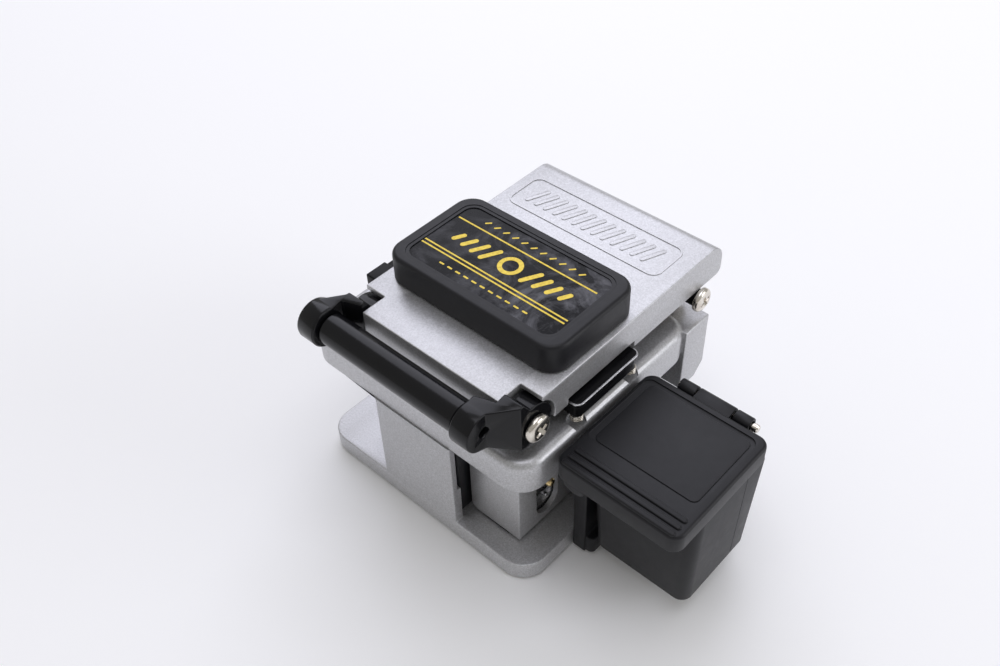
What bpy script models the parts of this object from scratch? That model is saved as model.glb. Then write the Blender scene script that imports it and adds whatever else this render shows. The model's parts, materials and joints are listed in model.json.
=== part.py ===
"""Bench fibre cleaver with an off-cut bin.

Frame: +X to the right along the front, +Y to the back, +Z up.  The origin is
the middle of the underside.  Sizes in this file are millimetres; the helpers
turn them into metres.
"""
import math

import bmesh
import bpy
from mathutils import Matrix, Vector

MM = 0.001
GAP = 0.3                     # clearance between neighbouring pieces

# Body casting: base plate, front wall, deck, rear spine and hinge rail
BODY_W = 63.0
BODY_D = 61.0
BODY_X = BODY_W / 2
FRONT_Y = -BODY_D / 2
BACK_Y = BODY_D / 2
PAD_SKIN = 0.5                # how far the rubber foot pad stands below the base
BASE_TOP = 5.0
CORNER = 6.0                  # plan radius of base and deck
WALL_X = 11.0                 # half width of the front wall
WALL_T = 2.5
DECK_BOTTOM = 30.0
DECK_TOP = 38.2
DECK_BACK = FRONT_Y + 55.0
DECK_FILLET = 2.2
RAIL_TOP = 36.7               # top of the rear hinge rail
RAIL_BOTTOM = 19.5
RAIL_FRONT = FRONT_Y + 52.5
SPINE_X = (-19.5, 21.5)
SPINE_Y = (18.0, 26.5)

# Lid and its hinge
HINGE_Y = 28.2
HINGE_Z = 41.8
SHAFT_R = 1.2
BORE_R = SHAFT_R + GAP
LID_X = (-18.2, 29.5)
LID_Y = (-28.9, 36.1)
LID_Z = (44.2, 52.5)
LID_MID_X = sum(LID_X) / 2
NOTCH_W = 5.5
NOTCH_BACK = -22.8
HINGE_POST_R = 2.2
HINGE_EAR_R = 3.2
HINGE_RING_R = 4.5

# Handle
PIVOT_Y = -24.8
PIVOT_Z = 46.0
KNUCKLE_R = 5.2
SHOULDER = (-27.6, 53.9)      # top rear corner of the arms, (y, z)
SHOULDER_FOOT = 100.0         # where the shoulder meets the knuckle, degrees
GRIP_Y = -33.7
GRIP_Z = 48.6
GRIP_R = 3.5
CAP_R = 4.5
ARM_CAP_X = (19.9, 24.7)
ARM_KNUCKLE_X = (24.4, 29.1)
ARM_PITCH = 42.4              # from the right cap to the left one
SCREW_REACH = 9.5             # thread of the pivot screws below the head

# Cutting line: the fibre lies along X at this Y
FIBRE_Y = -4.9
PAD_TOP = 38.9                # top of the lower clamp pads
BLADE_X = 14.6                # middle plane of the cutting wheel
BLADE_R = 9.4
BLADE_T = 1.0
BLADE_Y = -14.0
BLADE_Z = PAD_TOP - BLADE_R
TRAVEL = 20.0                 # stroke of the blade carriage

# Carriage
CAR_X = (10.8, 24.9)
CAR_Y = (-25.0, -3.0)
CAR_Z = (5.6, 32.2)
CAR_BAY_TOP = 32.6
SLIDE_X = (14.4, 21.4)
SLIDE_Y = (-24.5, 17.5)
SLIDE_Z = (2.5, 5.2)          # the rail lies in a groove in the base

# Clamps under the lid
CLAMP_Y = (-14.8, 5.0)
CLAMP_RIGHT_X = (18.0, 31.6)
CLAMP_LEFT_X = (-0.5, 10.5)
CLAMP_BAR_Z = (40.4, 43.0)
CLAMP_PLATE_Z = (43.4, 44.4)
CLAMP_POCKET_TOP = 45.8
CLAMP_POST_TOP = 49.8
POST_Y = (-13.0, 3.8)
SPRING_X = 29.8
SPRING_Z = 38.6
SPRING_POCKET_R = 2.1         # recess in the deck round each spring

# Off-cut bin
BIN_TOP_X = (35.5, 61.2)
BIN_TOP_Y = (-15.7, 8.8)
BIN_Z = (6.5, 32.6)
BIN_WALL = 1.3
BIN_LID_X = (32.4, 61.5)
BIN_LID_Y = (-23.2, 7.8)
BIN_LID_Z = (33.0, 37.5)
BIN_HINGE_Y = 9.9
BIN_HINGE_Z = 35.9
BIN_KNUCKLE_R = 1.6
BIN_DRAFT = (1.8, 0.6, 0.3, 1.6)
LID_TAB_X = (34.6, 39.8)
PANEL = (33.3, -14.7, 59.6, 6.1)       # sunk panel in the bin lid: x0, y0, x1, y1
PANEL_DEPTH = 0.35
BRACKET_SCREW_Z = 18.2

# Colour, roughness, metallic
FINISHES = {
    "silver_paint": ((0.62, 0.63, 0.66), 0.42, 0.55),
    "black_plastic": ((0.020, 0.020, 0.024), 0.42, 0.0),
    "black_anodised": ((0.030, 0.030, 0.034), 0.35, 0.4),
    "black_rubber": ((0.015, 0.015, 0.015), 0.80, 0.0),
    "nickel": ((0.78, 0.75, 0.70), 0.18, 1.0),
    "steel": ((0.60, 0.60, 0.62), 0.28, 1.0),
    "brass": ((0.72, 0.56, 0.28), 0.25, 1.0),
    "label": ((0.020, 0.020, 0.022), 0.15, 0.0),
    "carbide": ((0.35, 0.36, 0.38), 0.12, 1.0),
}

for old in list(bpy.data.objects):
    bpy.data.objects.remove(old, do_unlink=True)

parts = bpy.data.collections.new("fibre_cleaver")
cutters = bpy.data.collections.new("cutters")
for folder in (parts, cutters):
    bpy.context.scene.collection.children.link(folder)


# ---------------------------------------------------------------- helpers

def metres(point):
    return Vector(point) * MM


def finish(obj, kind):
    """Give obj a material of its own in one of the finishes."""
    colour, roughness, metallic = FINISHES[kind]
    mat = bpy.data.materials.new(obj.name + "_" + kind)
    mat.use_nodes = True
    shader = mat.node_tree.nodes["Principled BSDF"]
    shader.inputs["Base Color"].default_value = (*colour, 1.0)
    shader.inputs["Roughness"].default_value = roughness
    shader.inputs["Metallic"].default_value = metallic
    mat.diffuse_color = (*colour, 1.0)
    obj.data.materials.append(mat)


def settle(obj, kind, rig=None):
    """File a new object: with a finish it is a part, without one a cutter."""
    if kind is None:
        cutters.objects.link(obj)
        obj.hide_render = True
        obj.display_type = "WIRE"
        return obj
    parts.objects.link(obj)
    finish(obj, kind)
    if rig is not None:
        obj.parent = rig
        obj.location -= rig.location
    return obj


def from_bmesh(name, bm, centre):
    bmesh.ops.recalc_face_normals(bm, faces=bm.faces)
    mesh = bpy.data.meshes.new(name)
    bm.to_mesh(mesh)
    bm.free()
    obj = bpy.data.objects.new(name, mesh)
    obj.location = metres(centre)
    return obj


def cube(lo, hi):
    """A box from corner lo to corner hi, around its own centre."""
    size = [(b - a) * MM for a, b in zip(lo, hi)]
    bm = bmesh.new()
    bmesh.ops.create_cube(bm, size=1.0)
    bmesh.ops.scale(bm, vec=size, verts=bm.verts)
    centre = [(a + b) / 2 for a, b in zip(lo, hi)]
    return bm, centre


def round_edges(bm, wanted, radius, segments):
    """Round the edges for which wanted(middle in mm, direction) is true."""
    edges = []
    for edge in bm.edges:
        a, b = (v.co for v in edge.verts)
        if wanted((a + b) / (2 * MM), (b - a).normalized()):
            edges.append(edge)
    bmesh.ops.bevel(bm, geom=edges, offset=radius * MM, segments=segments,
                    profile=0.5, affect="EDGES", clamp_overlap=True)


def box(name, lo, hi, kind=None, rig=None, edge=0.0, segments=2):
    """A box whose edges are all rounded by edge."""
    bm, centre = cube(lo, hi)
    if edge:
        round_edges(bm, lambda mid, way: True, edge, segments)
    return settle(from_bmesh(name, bm, centre), kind, rig)


def slab(name, lo, hi, corner, kind=None, rig=None, top=0.0, bottom=0.0, turns=4, draft=None):
    """A box with round corners in plan, and a round top or bottom rim.

    draft moves the two sides of the lower face in, as (x0, x1, y0, y1).
    """
    bm, centre = cube(lo, hi)
    half = (hi[2] - lo[2]) / 2
    if draft:
        for vert in bm.verts:
            if vert.co.z < 0:
                vert.co.x += (draft[0] if vert.co.x < 0 else -draft[1]) * MM
                vert.co.y += (draft[2] if vert.co.y < 0 else -draft[3]) * MM
    round_edges(bm, lambda mid, way: abs(way.z) > 0.8, corner, turns)
    for level, rim in ((half, top), (-half, bottom)):
        if rim:
            on_rim = lambda mid, way, z=level: abs(mid.z - z) < 0.01 and abs(way.z) < 0.1
            round_edges(bm, on_rim, rim, 3)
    obj = settle(from_bmesh(name, bm, centre), kind, rig)
    smooth(obj)
    return obj


def smooth(obj, angle=35.0):
    obj.data.shade_smooth()
    obj.data.set_sharp_from_angle(angle=math.radians(angle))


TURN = {"X": Matrix.Rotation(math.pi / 2, 4, "Y"),
        "Y": Matrix.Rotation(-math.pi / 2, 4, "X"),
        "Z": Matrix.Identity(4)}


def rod(name, way, start, end, at, radius, kind=None, rig=None, sides=24):
    """A cylinder along an axis from start to end; at holds the other two."""
    bm = bmesh.new()
    bmesh.ops.create_cone(bm, cap_ends=True, segments=sides, radius1=radius * MM,
                          radius2=radius * MM, depth=(end - start) * MM, matrix=TURN[way])
    middle = (start + end) / 2
    centre = {"X": (middle, *at), "Y": (at[0], middle, at[1]), "Z": (*at, middle)}[way]
    obj = settle(from_bmesh(name, bm, centre), kind, rig)
    smooth(obj)
    return obj


def turned(name, way, at, profile, kind=None, rig=None, sides=24):
    """A turned piece: profile is (radius, distance along the axis), far end first."""
    mesh = bpy.data.meshes.new(name)
    points = [(r * MM, 0.0, along * MM) for r, along in profile]
    mesh.from_pydata(points, [(i, i + 1) for i in range(len(points) - 1)], [])
    obj = bpy.data.objects.new(name, mesh)
    obj.matrix_world = Matrix.Translation(metres(at)) @ TURN[way]
    spin = obj.modifiers.new("turn", "SCREW")
    spin.axis = "Z"
    spin.steps = sides
    spin.render_steps = sides
    spin.use_merge_vertices = True
    spin.merge_threshold = 0.00001
    return settle(obj, kind, rig)


def plate(name, way, outline, start, end, kind=None, rig=None):
    """A flat outline with a thickness from start to end along an axis."""
    curve = bpy.data.curves.new(name, "CURVE")
    curve.dimensions = "2D"
    curve.fill_mode = "BOTH"
    curve.extrude = (end - start) / 2 * MM
    spline = curve.splines.new("POLY")
    spline.points.add(len(outline) - 1)
    for point, (u, v) in zip(spline.points, outline):
        point.co = (u * MM, v * MM, 0.0, 1.0)
    spline.use_cyclic_u = True
    drawn = bpy.data.objects.new(name + "_outline", curve)
    bpy.context.scene.collection.objects.link(drawn)
    bpy.context.view_layer.update()
    mesh = bpy.data.meshes.new_from_object(
        drawn.evaluated_get(bpy.context.evaluated_depsgraph_get()))
    bpy.data.objects.remove(drawn, do_unlink=True)
    bm = bmesh.new()
    bm.from_mesh(mesh)
    bmesh.ops.remove_doubles(bm, verts=bm.verts, dist=0.00001)
    if way == "X":
        # the outline's own axes become Y and Z
        stand = Matrix(((0, 0, 1, 0), (1, 0, 0, 0), (0, 1, 0, 0), (0, 0, 0, 1)))
        bmesh.ops.transform(bm, matrix=stand, verts=bm.verts)
        centre = ((start + end) / 2, 0, 0)
    else:
        centre = (0, 0, (start + end) / 2)
    return settle(from_bmesh(name, bm, centre), kind, rig)


def boolean(target, tool, operation):
    step = target.modifiers.new(operation.lower(), "BOOLEAN")
    step.operation = operation
    step.object = tool


def cut(target, *tools):
    for tool in tools:
        boolean(target, tool, "DIFFERENCE")


def join(target, *tools):
    for tool in tools:
        boolean(target, tool, "UNION")


def rig_at(name, x, y, z):
    """An empty on a joint's axis; the pieces that move with it hang on it."""
    empty = bpy.data.objects.new(name, None)
    empty.location = metres((x, y, z))
    parts.objects.link(empty)
    return empty


def arc(centre, radius, start, end, steps):
    """Points on an arc, angles in degrees."""
    for i in range(steps + 1):
        angle = math.radians(start + (end - start) * i / steps)
        yield (centre[0] + radius * math.cos(angle), centre[1] + radius * math.sin(angle))


# ------------------------------------------------------------------- body

def body():
    casting = slab("body_casting", (-BODY_X, FRONT_Y, PAD_SKIN), (BODY_X, BACK_Y, BASE_TOP),
                   CORNER, "silver_paint")
    overlap = 1.0
    deck = slab("deck", (-BODY_X, FRONT_Y, DECK_BOTTOM), (BODY_X, DECK_BACK, DECK_TOP),
                CORNER, top=DECK_FILLET)
    wall = box("wall", (-WALL_X, FRONT_Y, BASE_TOP - overlap),
               (WALL_X, FRONT_Y + WALL_T, DECK_BOTTOM + overlap))
    bm, centre = cube((-BODY_X, RAIL_FRONT, RAIL_BOTTOM), (BODY_X, BACK_Y, RAIL_TOP))
    round_edges(bm, lambda mid, way: mid.y > 3 and mid.z < -8, 3.0, 1)
    rail = settle(from_bmesh("rail", bm, centre), None)
    spine = box("spine", (SPINE_X[0], SPINE_Y[0], BASE_TOP - overlap),
                (SPINE_X[1], SPINE_Y[1], DECK_BOTTOM + overlap))
    join(casting, deck, wall, rail, spine)
    for label, left, right in (("a", 12.5, 18.5), ("b", -7.5, -1.5)):
        foot = box("post_" + label, (left + 0.1, HINGE_Y - HINGE_POST_R + 0.1, RAIL_TOP - overlap),
                   (right - 0.1, HINGE_Y + HINGE_POST_R - 0.1, HINGE_Z))
        knob = rod("post_top_" + label, "X", left, right, (HINGE_Y, HINGE_Z), HINGE_POST_R)
        join(foot, knob)
        join(casting, foot)
    cut(casting,
        rod("hinge_bore", "X", -9, 20, (HINGE_Y, HINGE_Z), BORE_R),
        box("carriage_bay", (CAR_X[0] - 0.5, CAR_Y[0] - GAP, DECK_BOTTOM - 1),
            (CAR_X[1] + 2.2, SPINE_Y[0] - GAP, CAR_BAY_TOP)),
        box("blade_slot", (BLADE_X - 1.1, BLADE_Y - 9.3, CAR_BAY_TOP - 1),
            (BLADE_X + 1.1, BLADE_Y + TRAVEL + 9.3, DECK_TOP + 1)),
        slab("foot_pocket", (-28.3, -27.3, -1), (28.3, 27.3, 1.5), 4.3),
        box("slide_groove", (SLIDE_X[0] - GAP, SLIDE_Y[0] - GAP, SLIDE_Z[0] - GAP),
            (SLIDE_X[1] + GAP, SLIDE_Y[1] + GAP, BASE_TOP + 1)),
        rod("magnet_pocket", "Z", 35.9, DECK_TOP + 1, (5.5, -24.0), 3.3))
    for place, y in zip(("front", "rear"), POST_Y):
        cut(casting, rod("spring_pocket_" + place, "Z", SPRING_Z - 1.6, DECK_TOP + 1,
                         (SPRING_X, y), SPRING_POCKET_R))
    for label, left, right in (("left", 4.5, 11.0), ("right", 17.0, 23.5)):
        cut(casting, slab("pad_pocket_" + label, (left - GAP, -13.8, 36.9),
                          (right + GAP, 4.0, DECK_TOP + 1), 1.2))
        slab("lower_pad_" + label, (left, -13.5, 37.2), (right, 3.7, PAD_TOP), 0.9,
             "black_rubber", top=0.3, turns=2)
    slab("base_pad", (-28, -27, 0), (28, 27, 1.2), 4.0, "black_rubber")
    rod("deck_magnet", "Z", 36.2, DECK_TOP + 0.1, (5.5, -24.0), 3.0, "nickel")
    box("inner_guard", (8.6, -27.5, BASE_TOP + GAP), (10.0, 15.5, DECK_BOTTOM - GAP),
        "black_plastic", edge=0.3, segments=1)


def fibre_guide():
    guide = slab("fiber_guide_plate", (-25, -12.5, DECK_TOP + GAP), (-3, 2.5, 41.3), 1.5,
                 "black_anodised", top=0.4, turns=3)
    groove = box("guide_groove", (-26, -0.7, -0.7), (-2, 0.7, 0.7))
    groove.location = metres((-14, FIBRE_Y, 41.3))
    groove.rotation_euler.x = math.radians(45)
    cut(guide, groove)
    for label, x, y in (("front", -21.5, -9.7), ("rear", -6.5, -0.3)):
        cut(guide, rod("guide_hole_" + label, "Z", 39.4, 42, (x, y), 1.9, sides=16))
        rod("guide_screw_" + label, "Z", 39.7, 41.1, (x, y), 1.6, "nickel", sides=16)


# -------------------------------------------------------------------- lid

def lid(rig):
    bm, centre = cube((LID_X[0], LID_Y[0], LID_Z[0]), (LID_X[1], LID_Y[1], LID_Z[1]))
    back = (LID_Y[1] - LID_Y[0]) / 2
    upper = (LID_Z[1] - LID_Z[0]) / 2
    rear_edge = lambda mid, way, z: abs(mid.y - back) < 0.01 and abs(mid.z - z) < 0.01
    round_edges(bm, lambda mid, way: rear_edge(mid, way, upper), 4.3, 5)
    round_edges(bm, lambda mid, way: rear_edge(mid, way, -upper), 1.6, 3)
    shell = settle(from_bmesh("lid_casting", bm, centre), "silver_paint", rig)
    for label, left, right in (("right", 19.0, 23.0), ("left", -12.0, -8.0)):
        ear = box("ear_" + label, (left + 0.1, HINGE_Y - HINGE_EAR_R + 0.1, HINGE_Z),
                  (right - 0.1, HINGE_Y + HINGE_EAR_R - 0.1, LID_Z[0] + 1))
        join(ear, rod("ear_end_" + label, "X", left, right, (HINGE_Y, HINGE_Z), HINGE_EAR_R))
        join(shell, ear)
    for label, left in (("left", LID_X[0] - 1), ("right", LID_X[1] - NOTCH_W)):
        right = left + NOTCH_W + 1
        cut(shell,
            box("notch_" + label, (left, LID_Y[0] - 1, LID_Z[0] - 1),
                (right, NOTCH_BACK, LID_Z[1] + 1)),
            rod("relief_" + label, "X", left, right, (PIVOT_Y, PIVOT_Z), KNUCKLE_R + 0.5,
                sides=32))
    cut(shell,
        rod("ear_bore", "X", -13, 24, (HINGE_Y, HINGE_Z), BORE_R),
        rod("ring_relief", "X", 23.1, 27.2, (HINGE_Y, HINGE_Z), HINGE_RING_R + 0.4),
        rod("screw_bore_left", "X", -14, -8, (PIVOT_Y, PIVOT_Z), BORE_R, sides=16),
        rod("screw_bore_right", "X", 19, 25, (PIVOT_Y, PIVOT_Z), BORE_R, sides=16),
        rod("striker_pocket", "Z", LID_Z[0] - 1, 46.3, (5.5, -24.0), 3.3),
        box("anvil_pocket", (12.7, FIBRE_Y - 4.4, LID_Z[0] - 1), (16.5, FIBRE_Y + 4.4, 47.4)),
        box("clamp_pocket_right", (CLAMP_RIGHT_X[0] - 0.4, CLAMP_Y[0] - 0.4, LID_Z[0] - 1),
            (LID_X[1] + 1, CLAMP_Y[1] + 0.4, CLAMP_POCKET_TOP)),
        box("clamp_pocket_left", (CLAMP_LEFT_X[0] - 0.4, CLAMP_Y[0] - 0.4, LID_Z[0] - 1),
            (CLAMP_LEFT_X[1] + 0.4, CLAMP_Y[1] + 0.4, CLAMP_POCKET_TOP)))
    for x in (21.5, 5.0):
        for y in POST_Y:
            cut(shell, rod("post_bore", "Z", LID_Z[0], CLAMP_POST_TOP + 1.4, (x, y),
                           BORE_R, sides=16))

    pad = slab("top_pad", (-16.9, -18.5, LID_Z[1] + GAP), (28.4, 7.5, 59.5), 4.5,
               "black_plastic", rig, top=1.0, turns=5)
    cut(pad, slab("label_pocket", (-14.4, -16.4, 58.3), (25.8, 5.4, 61), 3.3))
    slab("label_plate", (-14.1, -16.1, 58.6), (25.5, 5.1, 59.2), 3.0, "label", rig)
    rod("striker_pin", "Z", PAD_TOP, 46.0, (5.5, -24.0), 3.0, "nickel", rig)
    box("press_bar", (-23.1, -18.8, 46.6), (LID_X[0] - GAP, 3.5, 50.0), "black_anodised", rig,
        edge=0.4, segments=1)
    box("press_foot", (-22.5, FIBRE_Y - 3.5, 41.8), (-19.0, FIBRE_Y + 3.5, 46.3),
        "black_rubber", rig, edge=0.5, segments=1)


def hinge():
    rod("hinge_shaft", "X", -11.8, 23.1, (HINGE_Y, HINGE_Z), SHAFT_R, "steel", sides=16)
    for label, left in (("inner", 23.4), ("outer", 24.6)):
        ring = rod("hinge_ring_" + label, "X", left, left + 0.9, (HINGE_Y, HINGE_Z),
                   HINGE_RING_R, "nickel", sides=32)
        cut(ring, rod("ring_bore_" + label, "X", left - 1, left + 2, (HINGE_Y, HINGE_Z),
                      BORE_R, sides=16))
    head = 2.8
    head_t = 1.6
    for label, side in (("right", 1), ("left", -1)):
        face = LID_MID_X + side * 24.15          # underside of the head
        tip = LID_MID_X + side * 17.75
        profile = [(0, head_t), (head * 0.7, head_t - 0.25), (head, head_t * 0.45), (head, 0),
                   (SHAFT_R, 0), (SHAFT_R, -abs(face - tip)), (0, -abs(face - tip))]
        screw = turned("hinge_screw_" + label, "X", (face, HINGE_Y, HINGE_Z), profile, "nickel")
        bush_near = face - side * 0.3
        bush_far = face - side * 3.5
        bush = rod("hinge_bushing_" + label, "X", min(bush_near, bush_far),
                   max(bush_near, bush_far), (HINGE_Y, HINGE_Z), 2.05, "black_anodised")
        cut(bush, rod("bush_bore_" + label, "X", face - side * 8 - 8, face - side * 8 + 16,
                      (HINGE_Y, HINGE_Z), BORE_R, sides=16))
        if side < 0:
            screw.rotation_euler = (0, -math.pi / 2, 0)


# ----------------------------------------------------------------- handle

def handle(rig, lid_rig):
    run = Vector((PIVOT_Y - GRIP_Y, PIVOT_Z - GRIP_Z))
    lean = math.degrees(math.atan2(run.y, run.x))
    splay = math.degrees(math.acos((CAP_R - KNUCKLE_R) / run.length))
    side_view = (list(arc((GRIP_Y, GRIP_Z), CAP_R, lean + splay, lean + 360 - splay, 14))
                 + list(arc((PIVOT_Y, PIVOT_Z), KNUCKLE_R, lean - splay, SHOULDER_FOOT, 14))
                 + [SHOULDER])
    x0, x1 = ARM_CAP_X
    k0, k1 = ARM_KNUCKLE_X
    lap = LID_Y[0] - 1.0                         # the cap stops short of the lid's front
    over = 6.0                                   # how far the cutting outline overshoots
    cap_end = [(x0, GRIP_Y - over), (x1, GRIP_Y - over)]
    knuckle_end = [(k1, PIVOT_Y + over), (k0, PIVOT_Y + over)]
    plans = {"right": (0.0, cap_end + [(x1, GRIP_Y + 0.8), (k1, GRIP_Y + 5.2)] + knuckle_end
                       + [(k0, lap), (x0, lap)]),
             "left": (-ARM_PITCH, cap_end + [(x1, lap), (k1, lap + 1.4)] + knuckle_end
                      + [(k0, GRIP_Y + 5.6), (x0, GRIP_Y + 0.9)])}
    for label, (shift, top_view) in plans.items():
        arm = plate("handle_arm_" + label, "X", side_view, x0 + shift, k1 + shift,
                    "black_plastic", rig)
        plan = [(x + shift, y) for x, y in top_view]
        boolean(arm, plate("arm_plan_" + label, "Z", plan, GRIP_Z - 2 * over, GRIP_Z + 2 * over),
                "INTERSECT")
        if label == "left":
            join(arm, rod("left_cap", "X", x0 + shift - 0.2, x1 + shift, (GRIP_Y, GRIP_Z),
                          CAP_R + 0.15, sides=32))
        for hole, at in (("axle", (GRIP_Y, GRIP_Z)), ("pivot", (PIVOT_Y, PIVOT_Z))):
            cut(arm, rod(hole + "_hole_" + label, "X", x0 + shift - 1, k1 + shift + 1, at,
                         BORE_R, sides=16))
    grip = rod("grip_bar", "X", x1 - ARM_PITCH + GAP, x0 - GAP, (GRIP_Y, GRIP_Z), GRIP_R,
               "black_plastic", rig, sides=32)
    cut(grip, rod("grip_bore", "X", -30, 30, (GRIP_Y, GRIP_Z), BORE_R, sides=16))
    rod("grip_axle", "X", x0 - ARM_PITCH + 1.8, x1 - 1.8, (GRIP_Y, GRIP_Z), SHAFT_R, "steel",
        rig, sides=16)
    head = 3.0
    head_t = 1.6
    profile = [(0, head_t), (head * 0.7, head_t - 0.25), (head, head_t * 0.45), (head, 0),
               (SHAFT_R, 0), (SHAFT_R, -SCREW_REACH), (0, -SCREW_REACH)]
    for label, side, face in (("right", 1, k1 + GAP), ("left", -1, k0 - ARM_PITCH - GAP)):
        screw = turned("handle_screw_" + label, "X", (face, PIVOT_Y, PIVOT_Z), profile,
                       "nickel", lid_rig)
        if side < 0:
            screw.rotation_euler = (0, -math.pi / 2, 0)


# ------------------------------------------------------- clamps and anvil

def clamp(label, left, right, rubber, post_x, rig):
    slab("clamp_plate_" + label, (left, CLAMP_Y[0], CLAMP_PLATE_Z[0]),
         (right, CLAMP_Y[1], CLAMP_PLATE_Z[1]), 1.6, "steel", rig, turns=3)
    slab("clamp_bar_" + label, (left + 0.4, CLAMP_Y[0] + 0.4, CLAMP_BAR_Z[0]),
         (right - 0.4, CLAMP_Y[1] - 0.4, CLAMP_BAR_Z[1]), 1.4, "black_anodised", rig, turns=3)
    box("clamp_rubber_" + label, (rubber[0], -13.5, PAD_TOP + GAP), (rubber[1], 3.7, 40.1),
        "black_rubber", rig, edge=0.25, segments=1)
    for place, y in zip(("front", "rear"), POST_Y):
        rod("clamp_post_%s_%s" % (label, place), "Z", CLAMP_PLATE_Z[1] + GAP, CLAMP_POST_TOP,
            (post_x, y), SHAFT_R, "steel", rig, sides=16)


def clamp_springs(rig):
    """Short stacks of turns under the outer end of the right clamp."""
    turns = 3
    pitch = 0.5
    outer = 1.4
    inner = 1.15
    for place, y in zip(("front", "rear"), POST_Y):
        profile = [(0, turns * pitch)]
        for turn in range(turns):
            top = (turns - turn) * pitch
            profile.append((inner, top))
            profile.append((outer, top - pitch / 2))
        profile += [(inner, 0), (0, 0)]
        turned("clamp_spring_" + place, "Z", (SPRING_X, y, SPRING_Z), profile, "nickel", rig,
               sides=16)


def anvil(rig):
    box("anvil_block", (13.1, FIBRE_Y - 4.0, 39.8), (16.1, FIBRE_Y + 4.0, 46.2), "carbide", rig,
        edge=0.4, segments=2)


# --------------------------------------------------------------- carriage

def carriage(rig, blade_rig):
    block = box("carriage_block", (CAR_X[0], CAR_Y[0], CAR_Z[0]), (CAR_X[1], CAR_Y[1], CAR_Z[1]),
                "silver_paint", rig, edge=0.5)
    slot_y = (-19.5, -12.5)
    slot_r = (slot_y[1] - slot_y[0]) / 2
    middle = sum(slot_y) / 2
    slot = list(arc((middle, 11.0), slot_r, 180, 360, 10))
    slot += arc((middle, 19.5), slot_r, 0, 180, 10)
    cut(block,
        plate("side_slot", "X", slot, CAR_X[1] - 3.5, CAR_X[1] + 1),
        box("bearing_pocket", (12.1, CAR_Y[0] + 1.1, CAR_Z[0] - 1), (23.7, CAR_Y[1] + 1, 13.2)),
        box("wheel_slot", (BLADE_X - 1.3, BLADE_Y - BLADE_R - 0.4, BLADE_Z - BLADE_R - 0.4),
            (BLADE_X + 1.4, BLADE_Y + BLADE_R + 0.4, CAR_Z[1] + 1)),
        rod("axle_bore", "X", CAR_X[0] + 0.5, CAR_X[1] + 1, (BLADE_Y, BLADE_Z), BORE_R, sides=16))
    box("carriage_bearing", (12.4, CAR_Y[0] + 1.4, CAR_Z[0]), (23.4, CAR_Y[1] - 0.4, 12.9),
        "steel", rig, edge=0.4, segments=1)
    slide = box("slide_rail", (SLIDE_X[0], SLIDE_Y[0], SLIDE_Z[0]),
                (SLIDE_X[1], SLIDE_Y[1], SLIDE_Z[1]), "steel", edge=0.3, segments=1)
    for place, y in (("front", -21.0), ("rear", 14.0)):
        spot = (sum(SLIDE_X) / 2, y)
        cut(slide, rod("slide_hole_" + place, "Z", 3.5, 7, spot, 1.9, sides=16))
        rod("slide_screw_" + place, "Z", 3.8, 5.0, spot, 1.6, "nickel", sides=16)
    turned("blade_axle", "X", (CAR_X[1] + GAP, BLADE_Y, BLADE_Z),
           [(0, 1.1), (1.8, 1.0), (2.3, 0.6), (2.3, 0), (SHAFT_R, 0), (SHAFT_R, -13.5), (0, -13.5)],
           "nickel", rig, sides=16)
    turned("height_screw", "X", (27.6, -17.4, 20.2),
           [(0, 0), (0.7, 0), (1.0, -0.4), (1.0, -5.8), (0, -5.8)], "brass", rig, sides=16)

    rim = BLADE_T / 2
    wheel = turned("blade_wheel", "X", (BLADE_X, BLADE_Y, BLADE_Z),
                   [(0, rim), (BLADE_R - 1.2, rim), (BLADE_R, 0), (BLADE_R - 1.2, -rim), (0, -rim)],
                   "carbide", blade_rig, sides=48)
    cut(wheel, rod("wheel_bore", "X", BLADE_X - 2, BLADE_X + 2, (BLADE_Y, BLADE_Z), 3.1))
    hub = rod("blade_hub", "X", BLADE_X - 0.9, BLADE_X + 1.1, (BLADE_Y, BLADE_Z), 2.8,
              "black_anodised", blade_rig)
    cut(hub, rod("hub_bore", "X", BLADE_X - 2, BLADE_X + 2, (BLADE_Y, BLADE_Z), BORE_R, sides=16))


# -------------------------------------------------------------------- bin

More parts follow.
